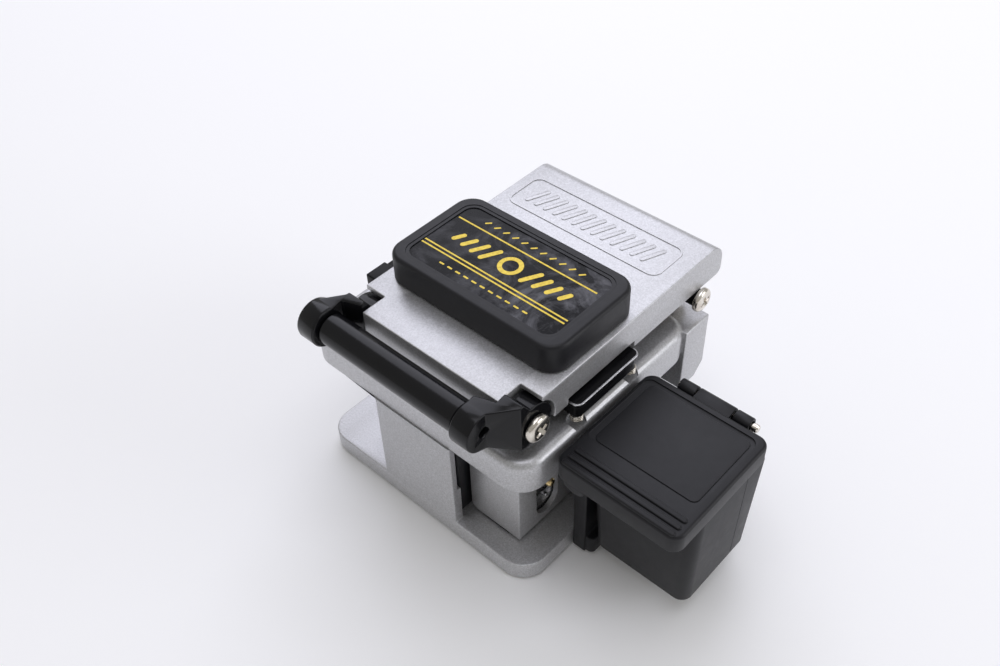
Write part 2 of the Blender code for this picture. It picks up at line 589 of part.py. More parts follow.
def offcut_bin(rig):
    x_out = BODY_X + GAP
    bracket = box("bin_bracket", (x_out, -15.6, 1.0), (35.1, 8.4, 32.4), "black_plastic",
                  edge=0.5, segments=1)
    join(bracket, box("bracket_foot", (x_out + 0.6, -15.2, 1.2), (37.0, 8.0, 5.9), edge=0.5,
                      segments=1))
    for place, y in (("front", -9.0), ("rear", 2.0)):
        cut(bracket, rod("bracket_hole_" + place, "X", 33.5, 36, (y, BRACKET_SCREW_Z), 2.0, sides=16))
        rod("bracket_screw_" + place, "X", 33.8, 35.0, (y, BRACKET_SCREW_Z), 1.7, "nickel", sides=16)

    (x0, x1), (y0, y1), (z0, z1) = BIN_TOP_X, BIN_TOP_Y, BIN_Z
    bin_box = slab("offcut_bin", (x0, y0, z0), (x1, y1, z1), 2.6, "black_plastic",
                   draft=BIN_DRAFT)
    wall = BIN_WALL
    for label, left, right in (("left", 38.7, 42.7), ("right", 51.9, 55.7)):
        block = box("bin_knuckle_" + label, (left, y1 - 0.6, 29.0),
                    (right, BIN_HINGE_Y + BIN_KNUCKLE_R, BIN_HINGE_Z))
        join(block, rod("bin_knuckle_end_" + label, "X", left, right,
                        (BIN_HINGE_Y, BIN_HINGE_Z), BIN_KNUCKLE_R, sides=20))
        join(bin_box, block)
    cut(bin_box,
        slab("bin_inside", (x0 + wall, y0 + wall, z0 + wall), (x1 - wall, y1 - wall, z1 + 1), 1.5,
             draft=BIN_DRAFT),
        rod("bin_hinge_bore", "X", 38, 57, (BIN_HINGE_Y, BIN_HINGE_Z), 1.0, sides=16))
    turned("bin_hinge_pin", "X", (56.4, BIN_HINGE_Y, BIN_HINGE_Z),
           [(0, 0.9), (1.2, 0.9), (1.2, 0), (0.7, 0), (0.7, -18.0), (0, -18.0)], "nickel", sides=16)

    (x0, x1), (y0, y1), (z0, z1) = BIN_LID_X, BIN_LID_Y, BIN_LID_Z
    cover = slab("bin_lid", (x0, y0, z0), (x1, y1, z1), 2.6, "black_plastic", rig, top=0.7)
    knuckle = box("lid_knuckle", (43.0, y1 - 1.0, BIN_HINGE_Z - 1.3),
                  (51.6, BIN_HINGE_Y, BIN_HINGE_Z + 1.3))
    join(knuckle, rod("lid_knuckle_end", "X", 43.0, 51.6, (BIN_HINGE_Y, BIN_HINGE_Z),
                      BIN_KNUCKLE_R, sides=20))
    join(cover, knuckle)
    join(cover, box("lid_tab", (LID_TAB_X[0], y0 + 0.3, z0 - 2.3), (LID_TAB_X[1], y0 + 1.5, z0 + 1),
                    edge=0.4, segments=1))
    cut(cover,
        slab("lid_inside", (x0 + 1.6, y0 + 1.6, z0 - 1), (x1 - 1.6, y1 - 1.6, z1 - 1.8), 1.2),
        slab("lid_panel", (*PANEL[:2], z1 - PANEL_DEPTH), (*PANEL[2:], z1 + 1), 1.6),
        rod("lid_hinge_bore", "X", 42, 53, (BIN_HINGE_Y, BIN_HINGE_Z), 1.0, sides=16))


lid_rig = rig_at("lid_axis", LID_MID_X, HINGE_Y, HINGE_Z)
handle_rig = rig_at("handle_axis", LID_MID_X, PIVOT_Y, PIVOT_Z)
clamp_right_rig = rig_at("clamp_right_axis", 21.5, FIBRE_Y, CLAMP_BAR_Z[0])
clamp_left_rig = rig_at("clamp_left_axis", 5.0, FIBRE_Y, CLAMP_BAR_Z[0])
anvil_rig = rig_at("anvil_axis", BLADE_X, FIBRE_Y, 39.8)
carriage_rig = rig_at("carriage_axis", BLADE_X, BLADE_Y, CAR_Z[0])
blade_rig = rig_at("blade_axis", BLADE_X, BLADE_Y, BLADE_Z)
bin_lid_rig = rig_at("bin_lid_axis", sum(BIN_LID_X) / 2, BIN_HINGE_Y, BIN_HINGE_Z)

body()
fibre_guide()
lid(lid_rig)
hinge()
handle(handle_rig, lid_rig)
clamp("right", *CLAMP_RIGHT_X, (18.6, 24.0), 21.5, clamp_right_rig)
clamp("left", *CLAMP_LEFT_X, (4.5, 10.0), 5.0, clamp_left_rig)
clamp_springs(clamp_right_rig)
anvil(anvil_rig)
carriage(carriage_rig, blade_rig)
offcut_bin(bin_lid_rig)
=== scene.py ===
"""Looks of the fibre cleaver with its off-cut bin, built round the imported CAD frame.

Sizes in this file are millimetres in the row frame; made() turns them into metres.
"""
import json
import math

import bmesh
import bpy
from mathutils import Matrix, Vector


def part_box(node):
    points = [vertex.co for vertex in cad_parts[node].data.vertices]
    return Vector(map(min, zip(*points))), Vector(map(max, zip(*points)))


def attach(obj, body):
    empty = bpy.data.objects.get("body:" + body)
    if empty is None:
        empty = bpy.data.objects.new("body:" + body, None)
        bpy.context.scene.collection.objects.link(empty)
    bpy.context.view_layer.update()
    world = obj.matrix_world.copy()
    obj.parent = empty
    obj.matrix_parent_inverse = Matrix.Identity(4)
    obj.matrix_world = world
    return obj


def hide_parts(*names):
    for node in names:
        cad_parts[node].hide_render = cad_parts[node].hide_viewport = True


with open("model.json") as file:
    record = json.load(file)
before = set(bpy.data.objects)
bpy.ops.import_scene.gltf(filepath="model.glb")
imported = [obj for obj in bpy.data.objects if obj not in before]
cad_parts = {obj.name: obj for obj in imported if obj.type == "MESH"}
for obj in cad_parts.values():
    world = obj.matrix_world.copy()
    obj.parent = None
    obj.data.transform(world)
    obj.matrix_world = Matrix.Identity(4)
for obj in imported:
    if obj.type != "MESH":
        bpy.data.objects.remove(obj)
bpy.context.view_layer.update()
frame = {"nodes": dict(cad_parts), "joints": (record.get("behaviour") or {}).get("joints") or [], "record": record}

MM = 0.001
ARC = 12                      # segments in a quarter turn of a large radius
RIM = 5                       # segments in a small rounding
GAP = 0.3                     # room between a piece and the pocket it sits in
PAST = 1.0                    # how far a cutting tool reaches past what it cuts
BORE_R = 1.5                  # bore round the M3 shafts and screws

BODY_OF = {}
for body_name, members in frame["record"]["behaviour"]["bodies"].items():
    for member in members:
        BODY_OF[member] = body_name
SLOT_OF = {row["node"]: row["material_slot"] for row in frame["record"]["subparts"]}
JOINT = {row["name"]: row for row in frame["joints"]}


def span(node):
    """Lowest and highest corner of a CAD node, in millimetres."""
    low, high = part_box(node)
    return low / MM, high / MM


def centre_of(node, axes):
    """Middle of a CAD node along two axes, such as "xy", in millimetres."""
    lo, hi = span(node)
    return tuple((getattr(lo, axis) + getattr(hi, axis)) / 2 for axis in axes)


def around(node, gap, bottom, top):
    """Corners of a box: a node's plan grown by gap, between two heights."""
    lo, hi = span(node)
    return (lo.x - gap, lo.y - gap, bottom), (hi.x + gap, hi.y + gap, top)


def pivot(joint):
    """A hinge's (y, z) in millimetres."""
    at = JOINT[joint]["pos_m"]
    return at[1] / MM, at[2] / MM


# ------------------------------------------------------------ mesh helpers

def linked(name, data):
    """A new object in the scene."""
    obj = bpy.data.objects.new(name, data)
    bpy.context.scene.collection.objects.link(obj)
    return obj


def made(name, bm):
    """Turn a bmesh drawn in millimetres into an object in metres."""
    bmesh.ops.recalc_face_normals(bm, faces=bm.faces)
    bmesh.ops.scale(bm, vec=(MM, MM, MM), verts=bm.verts)
    mesh = bpy.data.meshes.new(name)
    bm.to_mesh(mesh)
    bm.free()
    return linked(name, mesh)


def cube(lo, hi):
    bm = bmesh.new()
    bmesh.ops.create_cube(bm, size=1.0)
    bmesh.ops.scale(bm, vec=[b - a for a, b in zip(lo, hi)], verts=bm.verts)
    bmesh.ops.translate(bm, vec=[(a + b) / 2 for a, b in zip(lo, hi)], verts=bm.verts)
    return bm


def round_edges(bm, wanted, radius, turns):
    """Round the edges for which wanted(middle, direction) is true."""
    edges = []
    for edge in bm.edges:
        a, b = (v.co for v in edge.verts)
        if wanted((a + b) / 2, (b - a).normalized()):
            edges.append(edge)
    bmesh.ops.bevel(bm, geom=edges, offset=radius, segments=turns, profile=0.5,
                    affect="EDGES", clamp_overlap=True)


def box(name, lo, hi, edge=0.0, turns=3):
    bm = cube(lo, hi)
    if edge:
        round_edges(bm, lambda mid, way: True, edge, turns)
    return made(name, bm)


def slab(name, lo, hi, corner, top=0.0, bottom=0.0, draft=None, turns=ARC):
    """A box with round corners in plan and a round top or bottom rim.

    draft moves the sides of the lower face in, as (x0, x1, y0, y1).
    """
    bm = cube(lo, hi)
    middle = (lo[2] + hi[2]) / 2
    centre_x = (lo[0] + hi[0]) / 2
    centre_y = (lo[1] + hi[1]) / 2
    if draft:
        for vert in bm.verts:
            if vert.co.z < middle:
                vert.co.x += draft[0] if vert.co.x < centre_x else -draft[1]
                vert.co.y += draft[2] if vert.co.y < centre_y else -draft[3]
    round_edges(bm, lambda mid, way: abs(way.z) > 0.8, corner, turns)
    for level, rim in ((hi[2], top), (lo[2], bottom)):
        if rim:
            round_edges(bm, lambda mid, way: abs(mid.z - level) < 0.01 and abs(way.z) < 0.1,
                        rim, RIM)
    return made(name, bm)


TURN = {"X": Matrix.Rotation(math.pi / 2, 4, "Y"),
        "Y": Matrix.Rotation(-math.pi / 2, 4, "X"),
        "Z": Matrix.Identity(4)}


def turned(name, way, at, profile, sides=64):
    """A turned piece; profile is (distance along the axis, radius) from end to end."""
    bm = bmesh.new()
    verts = [bm.verts.new((radius, 0.0, along)) for along, radius in profile]
    edges = [bm.edges.new(pair) for pair in zip(verts, verts[1:])]
    bmesh.ops.spin(bm, geom=verts + edges, cent=(0, 0, 0), axis=(0, 0, 1),
                   angle=2 * math.pi, steps=sides, use_duplicate=False)
    bmesh.ops.remove_doubles(bm, verts=bm.verts, dist=0.0005)
    bmesh.ops.transform(bm, matrix=Matrix.Translation(at) @ TURN[way], verts=bm.verts)
    return made(name, bm)


def rod(name, way, start, end, at, radius, edge=0.0, sides=64):
    """A cylinder along an axis; at holds its other two coordinates."""
    origin = {"X": (0, *at), "Y": (at[0], 0, at[1]), "Z": (*at, 0)}[way]
    profile = [(start, 0), (start, radius - edge)]
    if edge:
        profile += [(start + edge, radius), (end - edge, radius)]
    profile += [(end, radius - edge), (end, 0)]
    return turned(name, way, origin, profile, sides)


def ring_profile(start, end, inner, outer, chamfer):
    """Profile for turned(): a bored ring with chamfered ends."""
    return [(start, inner), (start, outer - chamfer), (start + chamfer, outer),
            (end - chamfer, outer), (end, outer - chamfer), (end, inner), (start, inner)]


def prism(name, way, outline, start, end):
    """A flat outline given a thickness from start to end along an axis."""
    point = {"X": lambda u, v, w: (w, u, v),
             "Y": lambda u, v, w: (u, w, v),
             "Z": lambda u, v, w: (u, v, w)}[way]
    bm = bmesh.new()
    base = bm.faces.new([bm.verts.new(point(u, v, start)) for u, v in outline])
    grown = bmesh.ops.extrude_face_region(bm, geom=[base])
    far = [item for item in grown["geom"] if isinstance(item, bmesh.types.BMVert)]
    bmesh.ops.translate(bm, vec=point(0, 0, end - start), verts=far)
    return made(name, bm)


def bake(obj):
    """Apply the object's modifiers."""
    bpy.context.view_layer.update()
    graph = bpy.context.evaluated_depsgraph_get()
    mesh = bpy.data.meshes.new_from_object(obj.evaluated_get(graph))
    obj.modifiers.clear()
    obj.data = mesh


def combine(target, operation, *tools):
    for tool in tools:
        step = target.modifiers.new("step", "BOOLEAN")
        step.operation = operation
        step.object = tool
    bake(target)
    for tool in tools:
        bpy.data.objects.remove(tool, do_unlink=True)


def join(target, *tools):
    combine(target, "UNION", *tools)


def cut(target, *tools):
    combine(target, "DIFFERENCE", *tools)


def smooth(obj, angle=32.0):
    obj.data.shade_smooth()
    obj.data.set_sharp_from_angle(angle=math.radians(angle))


def soften(obj, width, turns=3, limit=32.0):
    """Round every sharp edge a little, as casting, moulding or deburring leaves it."""
    bm = bmesh.new()
    bm.from_mesh(obj.data)
    bmesh.ops.remove_doubles(bm, verts=bm.verts, dist=0.000002)
    bmesh.ops.dissolve_limit(bm, angle_limit=math.radians(0.5), verts=bm.verts,
                             edges=bm.edges, use_dissolve_boundaries=False)
    bm.to_mesh(obj.data)
    bm.free()
    bevel = obj.modifiers.new("soft_edges", "BEVEL")
    bevel.width = width * MM
    bevel.segments = turns
    bevel.limit_method = "ANGLE"
    bevel.angle_limit = math.radians(limit)
    bevel.use_clamp_overlap = False
    bevel.miter_outer = "MITER_ARC"
    bake(obj)
    smooth(obj)


def arc(centre, radius, start, end, steps):
    """Points on an arc, angles in degrees."""
    points = []
    for i in range(steps + 1):
        angle = math.radians(start + (end - start) * i / steps)
        points.append((centre[0] + radius * math.cos(angle),
                       centre[1] + radius * math.sin(angle)))
    return points


def obround(centre, length, width, lean=0.0):
    """Outline of a bar with round ends, turned by lean degrees."""
    reach = (length - width) / 2
    ends = arc((reach, 0), width / 2, -90, 90, 10) + arc((-reach, 0), width / 2, 90, 270, 10)
    c, s = math.cos(math.radians(lean)), math.sin(math.radians(lean))
    return [(centre[0] + u * c - v * s, centre[1] + u * s + v * c) for u, v in ends]


def place(obj, *nodes, look=None):
    """Stand obj in for CAD nodes: it rides on their body and takes their finish."""
    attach(obj, BODY_OF[nodes[0]])
    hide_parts(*nodes)
    obj.data.materials.clear()
    obj.data.materials.append(LOOK[look or SLOT_OF[nodes[0]]])


def add_on(obj, node, slot, look=None):
    """A detail that rides with a CAD node and replaces nothing."""
    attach(obj, BODY_OF[node])
    obj.data.materials.clear()
    obj.data.materials.append(LOOK[look or slot])


# --------------------------------------------------------------- materials

def shader(name, roughness, metallic, **sockets):
    """A material with a Principled shader and object coordinates to build on."""
    mat = bpy.data.materials.new(name)
    mat.use_nodes = True
    tree = mat.node_tree
    bsdf = tree.nodes["Principled BSDF"]
    bsdf.inputs["Roughness"].default_value = roughness
    bsdf.inputs["Metallic"].default_value = metallic
    for socket, value in sockets.items():
        bsdf.inputs[socket.replace("_", " ")].default_value = value
    coords = tree.nodes.new("ShaderNodeTexCoord").outputs["Object"]
    return mat, tree, bsdf, coords


def noise(tree, coords, scale, detail=2.0, distortion=0.0, rough=0.5):
    node = tree.nodes.new("ShaderNodeTexNoise")
    node.inputs["Scale"].default_value = scale
    node.inputs["Detail"].default_value = detail
    node.inputs["Roughness"].default_value = rough
    node.inputs["Distortion"].default_value = distortion
    tree.links.new(coords, node.inputs["Vector"])
    return node.outputs["Fac"]


def cells(tree, coords, scale):
    node = tree.nodes.new("ShaderNodeTexVoronoi")
    node.inputs["Scale"].default_value = scale
    tree.links.new(coords, node.inputs["Vector"])
    return node


def stretched(tree, coords, scale):
    """Coordinates scaled differently along each axis, for brushed or turned lines."""
    node = tree.nodes.new("ShaderNodeMapping")
    node.inputs["Scale"].default_value = scale
    tree.links.new(coords, node.inputs["Vector"])
    return node.outputs["Vector"]


def ramp(tree, factor, low, high, start=0.35, end=0.65):
    """Blend from colour low to colour high as factor goes from start to end."""
    node = tree.nodes.new("ShaderNodeValToRGB")
    first, last = node.color_ramp.elements
    first.position = start
    last.position = end
    first.color = (*low, 1.0)
    last.color = (*high, 1.0)
    tree.links.new(factor, node.inputs["Fac"])
    return node.outputs["Color"]


def between(tree, factor, low, high, start=0.3, end=0.7):
    """Map factor from start..end to low..high."""
    node = tree.nodes.new("ShaderNodeMapRange")
    node.inputs["From Min"].default_value = start
    node.inputs["From Max"].default_value = end
    node.inputs["To Min"].default_value = low
    node.inputs["To Max"].default_value = high
    tree.links.new(factor, node.inputs["Value"])
    return node.outputs["Result"]


def bump(tree, height, strength, depth_mm, onto=None):
    node = tree.nodes.new("ShaderNodeBump")
    node.inputs["Strength"].default_value = strength
    node.inputs["Distance"].default_value = depth_mm * MM
    tree.links.new(height, node.inputs["Height"])
    if onto is not None:
        tree.links.new(onto, node.inputs["Normal"])
    return node.outputs["Normal"]


def mixed(tree, factor, first, second, mode="MIX"):
    node = tree.nodes.new("ShaderNodeMix")
    node.data_type = "RGBA"
    node.blend_type = mode
    if isinstance(factor, float):
        node.inputs["Factor"].default_value = factor
    else:
        tree.links.new(factor, node.inputs["Factor"])
    for socket, colour in ((node.inputs[6], first), (node.inputs[7], second)):
        if isinstance(colour, tuple):
            socket.default_value = (*colour, 1.0)
        else:
            tree.links.new(colour, socket)
    return node.outputs[2]


def silver_paint():
    """Metallic silver paint over a casting: fine flakes, a little orange peel."""
    mat, tree, bsdf, coords = shader("silver_paint", 0.4, 0.74)
    flakes = cells(tree, coords, 4200.0)
    grain = noise(tree, coords, 2600.0, 3.0, rough=0.7)
    tone = ramp(tree, grain, (0.48, 0.48, 0.485), (0.62, 0.62, 0.63), 0.34, 0.66)
    glint = ramp(tree, flakes.outputs["Color"], (0.86, 0.86, 0.86), (1.10, 1.10, 1.12), 0.25, 0.85)
    speckled = mixed(tree, 0.75, tone, glint, "MULTIPLY")
    clouds = noise(tree, coords, 70.0, 3.0)
    soft = ramp(tree, clouds, (0.97, 0.97, 0.97), (1.0, 1.0, 1.0), 0.3, 0.7)
    tree.links.new(mixed(tree, 1.0, speckled, soft, "MULTIPLY"), bsdf.inputs["Base Color"])
    tree.links.new(between(tree, flakes.outputs["Color"], 0.34, 0.50, 0.1, 0.9),
                   bsdf.inputs["Roughness"])
    peel = bump(tree, noise(tree, coords, 900.0, 2.0), 0.25, 0.012)
    tree.links.new(bump(tree, grain, 0.45, 0.018, peel), bsdf.inputs["Normal"])
    return mat


def black_moulding(name, low, high, roughness, gloss, grain_scale, depth):
    """Black plastic or enamel: fine moulded grain and faint handling marks."""
    mat, tree, bsdf, coords = shader(name, roughness, 0.0, Specular_IOR_Level=gloss)
    clouds = noise(tree, coords, 160.0, 4.0, 0.4)
    tree.links.new(ramp(tree, clouds, low, high, 0.3, 0.75), bsdf.inputs["Base Color"])
    marks = noise(tree, coords, 420.0, 5.0, 0.8, 0.65)
    tree.links.new(between(tree, marks, roughness - 0.02, roughness + 0.04),
                   bsdf.inputs["Roughness"])
    tree.links.new(bump(tree, noise(tree, coords, grain_scale, 2.0), 0.35, depth),
                   bsdf.inputs["Normal"])
    return mat


def black_anodised():
    mat, tree, bsdf, coords = shader("black_anodised", 0.3, 0.0, Specular_IOR_Level=0.12)
    lines = noise(tree, stretched(tree, coords, (1.0, 0.05, 1.0)), 2400.0, 3.0)
    tree.links.new(ramp(tree, lines, (0.004, 0.004, 0.005), (0.009, 0.009, 0.010)),
                   bsdf.inputs["Base Color"])
    tree.links.new(between(tree, lines, 0.26, 0.36), bsdf.inputs["Roughness"])
    tree.links.new(bump(tree, lines, 0.1, 0.003), bsdf.inputs["Normal"])
    return mat


def black_rubber():
    mat, tree, bsdf, coords = shader("black_rubber", 0.78, 0.0)
    dust = noise(tree, coords, 900.0, 5.0, rough=0.7)
    tree.links.new(ramp(tree, dust, (0.012, 0.012, 0.012), (0.028, 0.028, 0.027)),
                   bsdf.inputs["Base Color"])
    tree.links.new(between(tree, dust, 0.7, 0.9), bsdf.inputs["Roughness"])
    tree.links.new(bump(tree, noise(tree, coords, 5200.0), 0.5, 0.02), bsdf.inputs["Normal"])
    return mat


def bright_metal(name, dark, light, roughness, along=(1.0, 1.0, 1.0), lines=1500.0):
    """Plated, ground or turned metal with fine lines and a stained tone."""
    mat, tree, bsdf, coords = shader(name, roughness, 1.0)
    stain = noise(tree, coords, 300.0, 4.0, 0.6)
    tree.links.new(ramp(tree, stain, dark, light, 0.3, 0.7), bsdf.inputs["Base Color"])
    fine = noise(tree, stretched(tree, coords, along), lines, 3.0)
    tree.links.new(between(tree, fine, roughness - 0.05, roughness + 0.09),
                   bsdf.inputs["Roughness"])
    tree.links.new(bump(tree, fine, 0.15, 0.006), bsdf.inputs["Normal"])
    return mat


def label_print():
    """Glossy plate with a smoky marbled print."""
    mat, tree, bsdf, coords = shader("label_print", 0.24, 0.0, Specular_IOR_Level=0.1)
    smoke = noise(tree, coords, 85.0, 8.0, 1.6, 0.62)
    veins = noise(tree, coords, 210.0, 6.0, 2.6, 0.7)
    dark = ramp(tree, smoke, (0.003, 0.003, 0.004), (0.13, 0.13, 0.145), 0.46, 0.70)
    light = ramp(tree, veins, (0.002, 0.002, 0.002), (0.085, 0.085, 0.093), 0.54, 0.76)
    smoky = mixed(tree, 0.6, dark, light, "ADD")
    split = tree.nodes.new("ShaderNodeSeparateXYZ")
    tree.links.new(coords, split.inputs["Vector"])
    # The smoky print is mixed in less towards -X and fully towards +X.
    smoke_share = between(tree, split.outputs["X"], 0.35, 1.0, -0.008, 0.012)
    tree.links.new(mixed(tree, smoke_share, (0.004, 0.004, 0.0045), smoky), bsdf.inputs["Base Color"])
    tree.links.new(between(tree, veins, 0.2, 0.32), bsdf.inputs["Roughness"])
    return mat


def gold_ink():
    mat, tree, bsdf, coords = shader("gold_ink", 0.42, 0.25)
    worn = noise(tree, coords, 1400.0, 3.0)
    tree.links.new(ramp(tree, worn, (0.60, 0.43, 0.035), (0.76, 0.57, 0.055), 0.35, 0.6),
                   bsdf.inputs["Base Color"])
    tree.links.new(bump(tree, worn, 0.2, 0.01), bsdf.inputs["Normal"])
    return mat


LOOK = {
    "silver_paint": silver_paint(),
    "black_plastic": black_moulding("black_plastic", (0.0085, 0.0085, 0.0105),
                                    (0.0105, 0.0105, 0.0125), 0.42, 0.3, 5200.0, 0.016),
    "black_paint": black_moulding("black_paint", (0.0045, 0.0045, 0.0055),
                                  (0.006, 0.006, 0.007), 0.18, 0.28, 2400.0, 0.006),
    "black_anodised": black_anodised(),
    "black_rubber": black_rubber(),
    "nickel": bright_metal("nickel", (0.62, 0.57, 0.50), (0.84, 0.80, 0.73), 0.17),
    "steel": bright_metal("steel", (0.46, 0.46, 0.47), (0.64, 0.64, 0.66), 0.26,
                          (0.04, 1.0, 1.0), 2600.0),
    "brass": bright_metal("brass", (0.58, 0.43, 0.20), (0.80, 0.66, 0.36), 0.2),
    "label": label_print(),
    "gold": gold_ink(),
    "carbide": bright_metal("carbide", (0.24, 0.25, 0.27), (0.36, 0.37, 0.40), 0.12,
                            (1.0, 0.05, 1.0), 3000.0),
}


# ------------------------------------------------------------ body casting

BASE_TOP = 5.0
CORNER = 6.0
WALL_X = 11.0
WALL_T = 2.5
WALL_STEP_Z = 15.0            # above this the wall is thinner at its open side
DECK_BOTTOM = 30.0
DECK_BACK = 24.5
DECK_FILLET = 2.2
RAIL_BOTTOM = 19.5
RAIL_TOP = 36.7
RAIL_FRONT = 22.0
SPINE = ((-19.5, 18.0), (21.5, 26.5))
RAIL_CHAMFER = 3.0
CASTING_EDGE = 0.3
BAY_RIGHT = 2.2               # how far the carriage bay runs past the carriage
BLADE_SLOT = 2.2
MAGNET_POCKET_R = 3.3
SPRING_POCKET_R = 2.1
SPRING_POCKET_DEPTH = 1.6
POSTS = {"a": (12.5, 18.5), "b": (-7.5, -1.5)}         # hinge posts, left and right face


def body_casting():
    lo, hi = span("body_casting")
    deck_top = span("lower_pad_left")[1].z - 0.7
    hinge_y, hinge_z = pivot("lid_hinge")
    casting = slab("body_shell", (lo.x, lo.y, lo.z), (hi.x, hi.y, BASE_TOP), CORNER)
    bm = cube((lo.x, RAIL_FRONT, RAIL_BOTTOM), (hi.x, hi.y, RAIL_TOP))
    round_edges(bm, lambda mid, way: mid.y > hi.y - 0.1 and mid.z < RAIL_BOTTOM + 0.1,
                RAIL_CHAMFER, 1)
    join(casting,
         slab("deck", (lo.x, lo.y, DECK_BOTTOM), (hi.x, DECK_BACK, deck_top), CORNER,
              top=DECK_FILLET),
         box("wall", (-WALL_X, lo.y, BASE_TOP - 1), (WALL_X, lo.y + WALL_T, DECK_BOTTOM + 1)),
         made("rail", bm),
         box("spine", (SPINE[0][0], SPINE[0][1], BASE_TOP - 1),
             (SPINE[1][0], SPINE[1][1], DECK_BOTTOM + 1)))
    carriage_lo, carriage_hi = span("carriage_block")
    cut(casting,
        box("carriage_bay", (carriage_lo.x - 0.5, carriage_lo.y - GAP, DECK_BOTTOM - PAST),
            (carriage_hi.x + BAY_RIGHT, SPINE[0][1] - GAP, carriage_hi.z + 0.4)),
        box("wall_step", (WALL_X - 3.0, lo.y + WALL_T - 0.9, WALL_STEP_Z),
            (WALL_X + 1.0, lo.y + WALL_T + 1.0, DECK_BOTTOM)))
    soften(casting, CASTING_EDGE)
    blade_lo, blade_hi = span("blade_wheel")
    blade_x = (blade_lo.x + blade_hi.x) / 2
    travel = JOINT["carriage_slide"]["range_m"][1] / MM
    slide_bottom = span("slide_rail")[0].z - GAP
    foot_top = span("base_pad")[1].z + GAP
    over = deck_top + PAST
    tools = [
        box("blade_slot", (blade_x - BLADE_SLOT / 2, blade_lo.y + 0.1, carriage_hi.z),
            (blade_x + BLADE_SLOT / 2, blade_hi.y + travel - 0.1, over)),
        slab("foot_pocket", *around("base_pad", GAP, -PAST, foot_top), 4.3),
        box("slide_groove", *around("slide_rail", GAP, slide_bottom, BASE_TOP + PAST)),
        rod("magnet_pocket", "Z", span("deck_magnet")[0].z - GAP, over,
            centre_of("deck_magnet", "xy"), MAGNET_POCKET_R)]
    for end in ("front", "rear"):
        spring = "clamp_spring_" + end
        tools.append(rod("spring_pocket", "Z", span(spring)[0].z - SPRING_POCKET_DEPTH, over,
                         centre_of(spring, "xy"), SPRING_POCKET_R))
    for side in ("left", "right"):
        pad = "lower_pad_" + side
        tools.append(slab("pad_pocket", *around(pad, GAP, span(pad)[0].z - GAP, over), 1.2))
    cut(casting, *tools)
    smooth(casting)
    place(casting, "body_casting")
    radius = hi.z - hinge_z
    for letter, (left, right) in POSTS.items():
        post = prism("hinge_post_" + letter, "X",
                     [(hinge_y - radius, RAIL_TOP - 1), (hinge_y + radius, RAIL_TOP - 1)]
                     + arc((hinge_y, hinge_z), radius, 0, 180, 24), left, right)
        cut(post, rod("post_bore", "X", left - 1, right + 1, (hinge_y, hinge_z), BORE_R))
        soften(post, 0.2, 2)
        add_on(post, "body_casting", "silver_paint")


# --------------------------------------------------------------------- lid

LID_UNDER = 44.2              # underside of the lid's plate
LID_REAR_TOP_R = 4.3
LID_REAR_FOOT_R = 1.6
LID_EDGE = 0.22
NOTCH_W = 5.5
NOTCH_BACK = -22.8
RELIEF_R = 5.7
RING_RELIEF = (23.1, 27.2, 4.9)        # room for the hinge rings: x0, x1, radius
STRIKER_POCKET_R = 3.3
EARS = {"right": (19.0, 23.0), "left": (-12.0, -8.0)}  # hinge ears, left and right face
FIELD = (-15.7, 17.0, 25.5, 28.2)      # outline on the lid's rear: x0, y0, x1, y1
FRAME_LINE = 0.32             # width of the raised line round the field
FRAME_RISE = 0.16
FIELD_BARS = 13
FIELD_BAR = (6.4, 1.15, 68)   # length, width, lean in degrees
FIELD_PITCH = 2.65


def lid_casting():
    lo, hi = span("lid_casting")
    hinge_y, hinge_z = pivot("lid_hinge")
    bm = cube((lo.x, lo.y, LID_UNDER), hi)
    round_edges(bm, lambda mid, way: mid.y > hi.y - 0.1 and mid.z > hi.z - 0.1,
                LID_REAR_TOP_R, ARC)
    round_edges(bm, lambda mid, way: mid.y > hi.y - 0.1 and mid.z < LID_UNDER + 0.1
                and abs(way.x) > 0.9, LID_REAR_FOOT_R, 6)
    shell = made("lid_shell", bm)
    below = LID_UNDER - PAST
    tools = []
    for left in (lo.x - 1, hi.x - NOTCH_W):
        right = left + NOTCH_W + 1
        tools.append(box("notch", (left, lo.y - 1, below), (right, NOTCH_BACK, hi.z + 1)))
        tools.append(rod("relief", "X", left, right, pivot("handle_pivot"), RELIEF_R, sides=96))
    for side, reach in (("right", 1.0), ("left", 0.4)):
        plate_lo, plate_hi = span("clamp_plate_" + side)
        tools.append(box("clamp_pocket", (plate_lo.x - 0.4, plate_lo.y - 0.4, below),
                         (plate_hi.x + reach, plate_hi.y + 0.4, plate_hi.z + 1.4)))
    cut(shell, *tools)
    soften(shell, LID_EDGE)
    relief_left, relief_right, relief_r = RING_RELIEF
    tools = [rod("ring_relief", "X", relief_left, relief_right, (hinge_y, hinge_z), relief_r,
                 sides=96),
             rod("striker_pocket", "Z", below, span("striker_pin")[1].z + GAP,
                 centre_of("striker_pin", "xy"), STRIKER_POCKET_R),
             box("anvil_pocket",
                 *around("anvil_block", 0.4, below, span("anvil_block")[1].z + 1.2))]
    for side in ("right", "left"):
        for end in ("front", "rear"):
            post = "clamp_post_%s_%s" % (side, end)
            tools.append(rod("post_bore", "Z", LID_UNDER, span(post)[1].z + 1.4,
                             centre_of(post, "xy"), BORE_R))
    cut(shell, *tools)
    smooth(shell)
    place(shell, "lid_casting")
    radius = hinge_z - lo.z
    for side, (left, right) in EARS.items():
        ear = prism("lid_ear_" + side, "X",
                    [(hinge_y + radius, LID_UNDER + 0.5), (hinge_y - radius, LID_UNDER + 0.5)]
                    + arc((hinge_y, hinge_z), radius, 180, 360, 24), left, right)
        cut(ear, rod("ear_bore", "X", left - 1, right + 1, (hinge_y, hinge_z), BORE_R))
        soften(ear, 0.2, 2)
        add_on(ear, "lid_casting", "silver_paint")
    name_field(hi)


